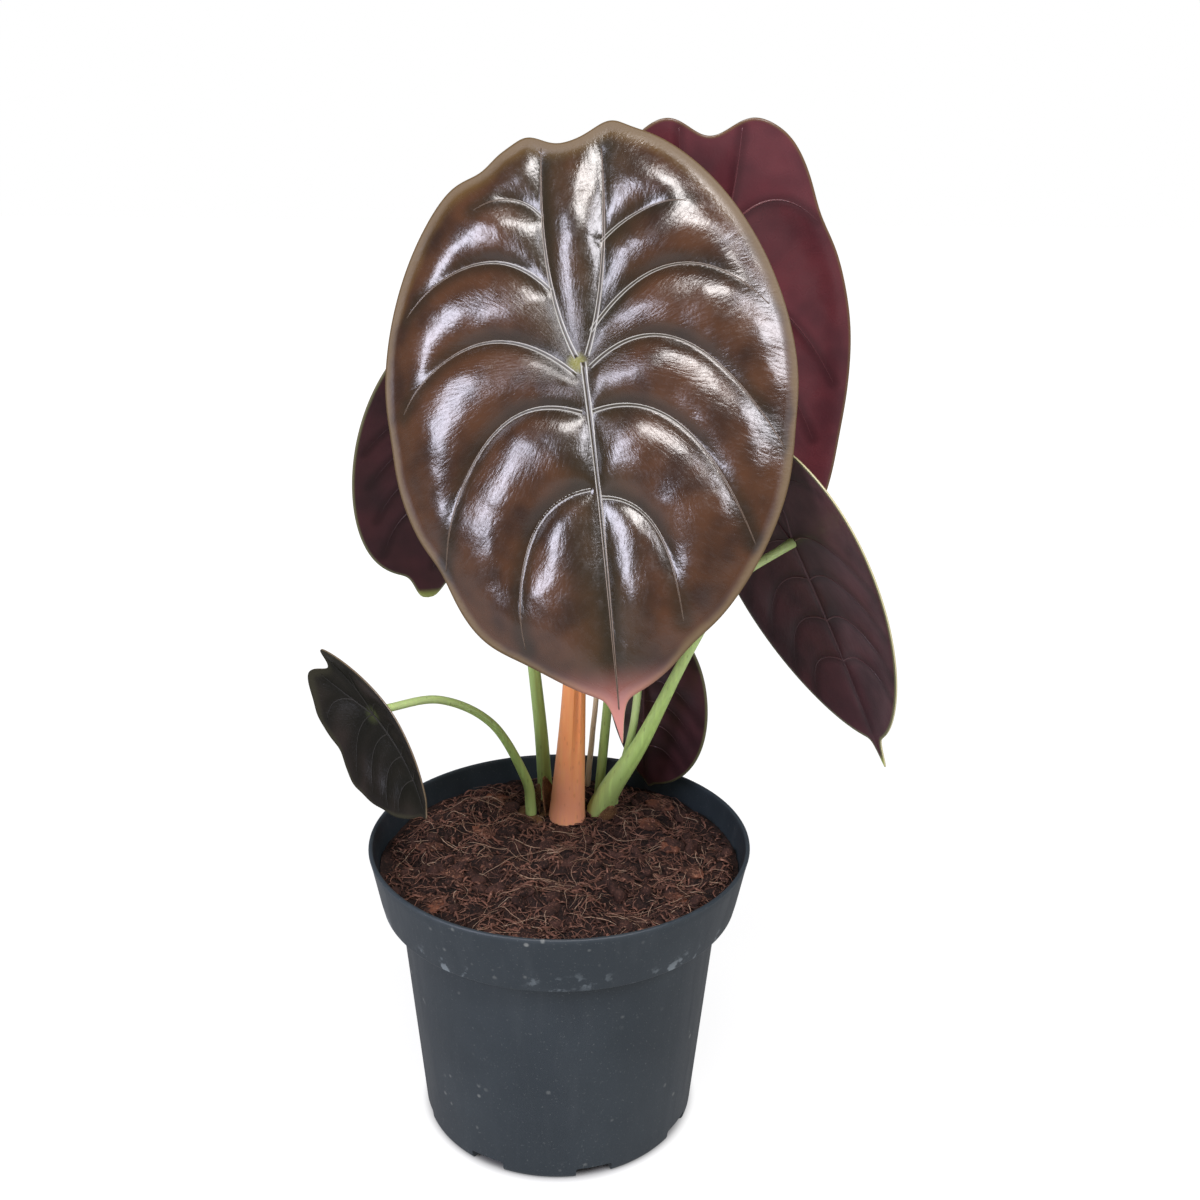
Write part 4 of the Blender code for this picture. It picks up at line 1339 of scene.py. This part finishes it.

# %% [markdown]
# ### Pot plastic
#
# Recycled dark plastic: matt, with a very fine grain, faint streaks down the wall, pale specks of dried
# water and dust that gather on the collar, and a lighter band along the top of the lip.

# %% Dust, as a node group


def dust_group():
    """A node group: soft dust and small dried drops, as a mask."""
    takes = (("Place", "Vector"), ("Amount", "Float"))
    group, enter, leave = new_group("dust_and_drops", takes, ("Mask",))
    place = enter["Place"]
    where = ramp(group, noise_of(group, place, 45.0, 2.0), 0.50, 0.72)
    cells = put(group, "ShaderNodeTexVoronoi", Vector=place, Scale=260.0, Randomness=1.0)
    drops = ramp(group, cells.outputs["Distance"], 0.10, 0.26, 1.0, 0.0)
    some = ramp(group, noise_of(group, place, 150.0, 1.0), 0.52, 0.60)
    fine = ramp(group, noise_of(group, place, 1500.0, 2.0), 0.62, 0.78)
    drops = times(group, times(group, drops, some), where)
    both = calculate(group, "MAXIMUM", drops, times(group, fine, 0.35))
    group.links.new(times(group, both, enter["Amount"]), leave["Mask"])
    return group


dust = dust_group()


def dusted(tree, amount):
    """Place the dust group in a material."""
    made = put(tree, "ShaderNodeGroup", {"node_tree": dust}, Place=places(tree), Amount=amount)
    return made.outputs["Mask"]


print("group:", dust.name, [socket.name for socket in dust.interface.items_tree])

# %% Pot plastic
pot_plastic, tree, shader = new_material("pot_plastic", 0.5, 0.0, 0.3, 0.42)
height = put(tree, "ShaderNodeSeparateXYZ", Vector=places(tree)).outputs["Z"]
streaks = noise_of(tree, places(tree, (1.0, 1.0, 0.08)), 220.0, 3.0)
grain = noise_of(tree, places(tree), 2600.0, 2.0)
cloud = noise_of(tree, places(tree), 30.0, 3.0)
colour = blend_colours(tree, ramp(tree, cloud, 0.35, 0.7), colour_of(38, 46, 52), colour_of(44, 52, 58))
streaked = times(tree, ramp(tree, streaks, 0.5, 0.75), 0.25)
colour = blend_colours(tree, streaked, colour, colour_of(56, 63, 68))
# Lighter along the top of the lip.
on_lip = ramp(tree, height, POT_HEIGHT - 1.6 * MM, POT_HEIGHT - 0.2 * MM, 0.0, 0.25)
colour = blend_colours(tree, on_lip, colour, colour_of(70, 78, 84))
marks = dusted(tree, 0.5)
colour = blend_colours(tree, marks, colour, colour_of(150, 152, 148))
above_ledge = ramp(tree, height, COLLAR_BASE - 0.5 * MM, COLLAR_BASE + 0.5 * MM)
near_ledge = ramp(tree, height, COLLAR_BASE + 0.5 * MM, COLLAR_BASE + 9.0 * MM, 1.0, 0.0)
blots = ramp(tree, noise_of(tree, places(tree), 210.0, 3.0, 0.6), 0.54, 0.64)
some_way = ramp(tree, noise_of(tree, places(tree), 38.0, 1.0), 0.42, 0.56)
blots = times(tree, times(tree, blots, some_way), times(tree, near_ledge, above_ledge))
colour = blend_colours(tree, times(tree, blots, 0.45), colour, colour_of(142, 152, 158))
relief = plus(tree, grain, times(tree, marks, 0.6))
finish_shader(tree, shader, colour, ramp(tree, streaks, 0.3, 0.8, 0.35, 0.48), relief, 0.05 * MM, 0.5)
pot.data.materials.append(pot_plastic)
finish_piece(pot, "pot_plastic", "nursery_pot")

# %% [markdown]
# ## The potting mix
#
# Peat and coir: dark crumbs bound with long tan fibres.  The body is a disc with uneven clumps, closed
# down the inside of the pot.  Crumbs, fibres and shreds are modelled once each, as a few faces, and
# strewn over it by the hundred, and all of it is joined to one piece.

# %% Body of the mix
MIX_GRID = 150
MOUND_SIZE = (0.030, 0.025)
LUMP_PLACE = (-0.027, 0.026)
LUMP_SIZE = (0.011, 0.009)
MIX_ROUNDS = ((54.8 * MM, 78.1 * MM), (49.4 * MM, 78.1 * MM), (42.2 * MM, 2.1 * MM))
draw = np.random.default_rng(12)
chip_names = sorted(n for n in frame["nodes"] if n.startswith("bark_chip_"))
chip_boxes = [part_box(name) for name in chip_names]


def hump(x, y, middle, size):
    """A soft hill of height 1 at a place."""
    return np.exp(-(((x - middle[0]) / size[0]) ** 2 + ((y - middle[1]) / size[1]) ** 2))


def mix_height(x, y):
    """Top of the mix: clumps of several sizes, low at the pot's wall and raised round the stem."""
    out = np.hypot(x, y) / SOIL_RADIUS
    waves = (np.sin(210.0 * x + 1.0) * np.cos(175.0 * y)
             + 0.6 * np.sin(380.0 * y + 2.0) * np.cos(330.0 * x + 0.5))
    near = hump(x, y, CROWN, MOUND_SIZE)
    points = np.stack((x, y, np.zeros_like(x)), axis=1)
    clumps = 2.8 * slow_waves(points, 14.0 * MM, 3.0) + 1.8 * slow_waves(points, 5.5 * MM, 4.0)
    crumbs = 0.8 * slow_waves(points, 2.2 * MM, 5.0) + 0.5 * slow_waves(points, 1.1 * MM, 6.0)
    calm = 1.0 - np.exp(-((1.0 - out) / 0.06))
    lump = hump(x, y, LUMP_PLACE, LUMP_SIZE)
    height = SOIL_LEVEL + 0.7 * MM * waves * (1.0 - out ** 6) + 1.2 * MM * near + 3.2 * MM * lump
    height = height + (clumps + crumbs) * MM * (0.35 + 0.65 * np.clip(calm, 0.0, 1.0))
    for low, high in chip_boxes:
        reach = 0.55 * max(high[0] - low[0], high[1] - low[1])
        under = np.exp(-(np.hypot(x - (low[0] + high[0]) / 2.0, y - (low[1] + high[1]) / 2.0) / reach) ** 4)
        height = height * (1.0 - under) + (0.6 * low[2] + 0.4 * high[2]) * under
    return height


mix = square_grid("mix_body", MIX_GRID)
angle, share = disc_places(mix)
x = share * SOIL_RADIUS * np.sin(angle)
y = -share * SOIL_RADIUS * np.cos(angle)
set_points(mix, np.stack((x, y, mix_height(x, y)), axis=1))
open_mesh(mix)
bpy.ops.mesh.select_all(action="DESELECT")
bpy.ops.mesh.select_non_manifold(extend=False)
rounds = ((SOIL_RADIUS, SOIL_LEVEL), *MIX_ROUNDS)
for here, there in zip(rounds, rounds[1:]):
    next_round(*here, *there)
bpy.ops.transform.resize(value=(1.0, 1.0, 0.0), center_override=(0.0, 0.0, rounds[-1][1]))
bpy.ops.mesh.edge_face_add()
close_mesh()
smooth(mix, 60.0)
print("mix body:", len(mix.data.polygons), "faces")

# %% Crumbs, shreds and fibres
CRUMB_INSET = 2.2 * MM
STRAND_INSET = 1.5 * MM
WALL_CLEAR = 0.8 * MM
STRAND_CLEAR = 0.15 * MM


def strew(name, shape_points, shape_faces, transforms):
    """One mesh with a copy of a small shape for each array of moved points."""
    count = len(shape_points)
    points = np.concatenate(transforms)
    faces = [tuple(v + count * i for v in face) for i in range(len(transforms)) for face in shape_faces]
    return mesh_of(name, points, faces)


def random_turn():
    """A random rotation as a matrix."""
    axis = draw.normal(size=3)
    axis /= np.linalg.norm(axis)
    return np.array(Matrix.Rotation(draw.uniform(0.0, 2.0 * pi), 3, Vector(axis)))


def random_place(limit):
    """A random place on the mix, no further out than the limit."""
    out = limit * sqrt(draw.uniform(0.0, 1.0))
    turn = draw.uniform(0.0, 2.0 * pi)
    return out * sin(turn), -out * cos(turn)


def make_crumbs(count, small, large, sink):
    """Uneven lumps, from one icosphere."""
    deselect()
    bpy.ops.mesh.primitive_ico_sphere_add(subdivisions=2, radius=1.0)
    lump = bpy.context.object
    shape = get_points(lump).copy()
    faces = [tuple(p.vertices) for p in lump.data.polygons]
    bpy.data.objects.remove(lump, do_unlink=True)
    spots = np.array([random_place(SOIL_RADIUS - CRUMB_INSET) for _ in range(count)])
    levels = mix_height(spots[:, 0], spots[:, 1])
    moved = []
    for (px, py), level in zip(spots, levels):
        size = small + (large - small) * draw.uniform(0.0, 1.0) ** 3
        rough = shape * (1.0 + 0.35 * slow_waves(shape, 0.9, draw.uniform(0.0, 50.0)))[:, None]
        rough = rough * np.array((draw.uniform(0.8, 1.6), 1.0, draw.uniform(0.55, 0.9)))
        moved.append(rough * size @ random_turn().T + np.array((px, py, level + sink * size)))
    return strew("crumbs", shape, faces, moved)


def make_strands(name, count, lengths, widths, flatness, segments, lift):
    """Thin bent strands that lie on the mix: three-sided, tapering to both ends."""
    ring = np.linspace(0.0, 2.0 * pi, 3, endpoint=False)
    faces = [tuple(3 * i + j for j in four) for i in range(segments)
             for four in ((0, 1, 4, 3), (1, 2, 5, 4), (2, 0, 3, 5))]
    faces += [(2, 1, 0), (3 * segments, 3 * segments + 1, 3 * segments + 2)]
    moved = []
    while len(moved) < count:
        px, py = random_place(SOIL_RADIUS - STRAND_INSET)
        length = lengths[0] + (lengths[1] - lengths[0]) * draw.uniform(0.0, 1.0) ** 2
        width = draw.uniform(*widths)
        heading, bend = draw.uniform(0.0, 2.0 * pi), draw.normal(0.0, 0.9)
        arch, tilt = draw.uniform(0.0, lift) * MM, draw.normal(0.0, 0.10)
        share = np.linspace(-0.5, 0.5, segments + 1)
        turn = heading + bend * share + 0.35 * np.sin(share * 9.0 + heading)
        step = length / segments
        xs = px + np.cumsum(np.cos(turn)) * step - np.cos(turn).sum() * step / 2.0
        ys = py + np.cumsum(np.sin(turn)) * step - np.sin(turn).sum() * step / 2.0
        if np.hypot(xs, ys).max() > SOIL_RADIUS - WALL_CLEAR:
            continue
        level = mix_height(xs, ys) + STRAND_CLEAR + arch * (1.0 - 4.0 * share ** 2) + tilt * share * length
        level = np.convolve(np.pad(level, 1, mode="edge"), (0.25, 0.5, 0.25), mode="valid")
        thick = width * (1.0 - 0.75 * np.abs(2.0 * share) ** 3)
        across = np.stack((-np.sin(turn), np.cos(turn)), axis=1)
        rows = []
        for a in ring:
            off = thick * cos(a)
            rows.append(np.stack((xs + across[:, 0] * off, ys + across[:, 1] * off,
                                  level + thick * flatness * sin(a)), axis=1))
        moved.append(np.stack(rows, axis=1).reshape(-1, 3))
    return strew(name, moved[0], faces, moved)


crumbs = make_crumbs(620, 0.35 * MM, 2.6 * MM, 0.05)
shreds = make_strands("shreds", 1500, (2.0 * MM, 8.0 * MM), (0.18 * MM, 0.65 * MM), 0.40, 4, 1.6)
brown_fibres = make_strands("brown_fibres", 1500, (3.0 * MM, 13.0 * MM), (0.06 * MM, 0.15 * MM), 1.0, 5, 1.4)
fibres = make_strands("fibres", 230, (4.0 * MM, 30.0 * MM), (0.06 * MM, 0.14 * MM), 1.0, 9, 2.2)
strewn = (crumbs, shreds, brown_fibres, fibres)
for thing in strewn:
    thing.data.shade_smooth()
print("crumbs, shreds and fibres:", [len(t.data.polygons) for t in strewn])

# %% [markdown]
# ### Colours of the mix
#
# One finish would make the mix look like a carpet, so the peat, the crumbs, the shreds and the two
# kinds of fibre each have their own three earth colours, all mixed by the same two noises.

# %% Finishes of the mix


def earth_finish(name, dark, mid, light, scale, roughness=0.9):
    """Uneven earth colours at two scales, with a rough grain."""
    dark, mid, light = colours_of(dark, mid, light)
    made, tree, shader = new_material(name, roughness, 0.0, 0.3, 0.25)
    big = noise_of(tree, places(tree), scale, 3.0)
    small = noise_of(tree, places(tree), scale * 9.0, 3.0)
    colour = blend_colours(tree, ramp(tree, big, 0.35, 0.65), dark, mid)
    colour = blend_colours(tree, times(tree, ramp(tree, small, 0.50, 0.75), 0.8), colour, light)
    finish_shader(tree, shader, colour, None, small, 0.5 * MM, 0.9)
    return made


MIX_FINISHES = (
    earth_finish("mix_peat", (22, 14, 12), (42, 27, 23), (80, 53, 44), 160.0),
    earth_finish("mix_crumb", (32, 20, 17), (62, 40, 34), (108, 74, 61), 190.0),
    earth_finish("mix_shred", (62, 39, 32), (118, 80, 66), (172, 128, 108), 130.0, 0.75),
    earth_finish("mix_brown_fibre", (84, 55, 45), (140, 100, 84), (176, 136, 114), 90.0, 0.7),
    earth_finish("mix_pale_fibre", (136, 104, 84), (178, 148, 124), (206, 184, 160), 80.0, 0.6),
)
for thing, finish in zip((mix, *strewn), MIX_FINISHES):
    thing.data.materials.append(finish)
mix = join((mix, *strewn), "potting_mix_body")
finish_piece(mix, "potting_mix", "potting_mix")

# %% [markdown]
# ## Stem, dry stalk, scale leaves and bark chips
#
# Most of these small pieces keep the shape of their solids.  A copy of each solid's mesh is merged,
# cut finer and roughened, which is quicker than modelling it anew and keeps it exactly where it
# belongs.  The dry stalk is straight and leans a little, so it is one more rod laid along a line.

# %% Roughened copies
MERGE_GAP = 0.02 * MM


def finer_copy(node, name, levels, roughness, size, seed, soft=True):
    """A copy of a solid's mesh with more faces and an uneven skin."""
    source = frame["nodes"][node]
    copy = source.copy()
    copy.data = source.data.copy()
    copy.data.transform(source.matrix_world)
    copy.parent = None
    copy.matrix_world = Matrix.Identity(4)
    copy.name = name
    copy.data.materials.clear()
    bpy.context.scene.collection.objects.link(copy)
    open_mesh(copy)
    bpy.ops.mesh.remove_doubles(threshold=MERGE_GAP)
    bpy.ops.mesh.tris_convert_to_quads()
    bpy.ops.object.mode_set(mode="OBJECT")
    finer = copy.modifiers.new("finer", "SUBSURF")
    finer.subdivision_type = "CATMULL_CLARK" if soft else "SIMPLE"
    finer.levels = levels
    finer.render_levels = levels
    apply_all(copy)
    points = get_points(copy).copy()
    normals = np.array([v.normal for v in copy.data.vertices])
    push = roughness * (slow_waves(points, size, seed) + 0.5 * slow_waves(points, size / 2.5, seed + 9.0))
    set_points(copy, points + normals * push[:, None])
    smooth(copy, 55.0)
    return copy


print("small pieces to make:", 1 + 1 + 3 + len(chip_names))

# %% Stem
rhizome = finer_copy("rhizome", "stem", 2, 0.25 * MM, 2.5 * MM, 21.0)
rhizome_skin = earth_finish("rhizome_skin", (86, 62, 42), (128, 96, 62), (150, 120, 80), 120.0, 0.8)
rhizome.data.materials.append(rhizome_skin)
finish_piece(rhizome, "rhizome_skin", "rhizome")

# %% Dry stalk
STALK_RADIUS = 1.15 * MM
stalk_foot = np.array((CROWN[0] + 0.0055, CROWN[1] + 0.0180, SOIL_LEVEL))
lean = np.array((sin(radians(5.0)), sin(radians(3.0)), 1.0))
lean /= np.linalg.norm(lean)
dry_stalk = make_rod("dry_stalk_rod", 20, 40)
line = np.linspace(-7.5 * MM, 70.0 * MM, 40)
lay_along(dry_stalk, stalk_foot + line[:, None] * lean,
          lambda share, angle: STALK_RADIUS * (0.96 - 0.30 * share + 0.03 * np.sin(5.0 * angle)
                                               - 0.04 * np.sin(37.0 * share + angle)))
smooth(dry_stalk, 50.0)
dry_skin = stalk_finish("dry_stalk_skin", (120, 84, 56), (214, 190, 156), (226, 206, 176),
                        (150, 112, 76), 0.5)
dry_stalk.data.materials.append(dry_skin)
finish_piece(dry_stalk, "dry_stalk", "dry_stalk")

# %% Scale leaves and bark chips
papery = earth_finish("dry_scale", (92, 62, 40), (140, 104, 70), (182, 150, 108), 240.0, 0.7)
for i in range(3):
    scale_leaf = finer_copy(f"scale_leaf_{i + 1}", f"dry_scale_{i + 1}", 2, 0.12 * MM, 1.8 * MM, 31.0 + i)
    scale_leaf.data.materials.append(papery)
    finish_piece(scale_leaf, "dry_scale", f"scale_leaf_{i + 1}")
bark = earth_finish("bark", (60, 37, 29), (112, 68, 50), (150, 106, 82), 110.0, 0.8)
for i, node in enumerate(chip_names):
    chip = finer_copy(node, f"chip_{i + 1:02d}", 3, 0.60 * MM, 2.2 * MM, 41.0 + i, soft=False)
    chip.data.materials.append(bark)
    finish_piece(chip, "bark", node)
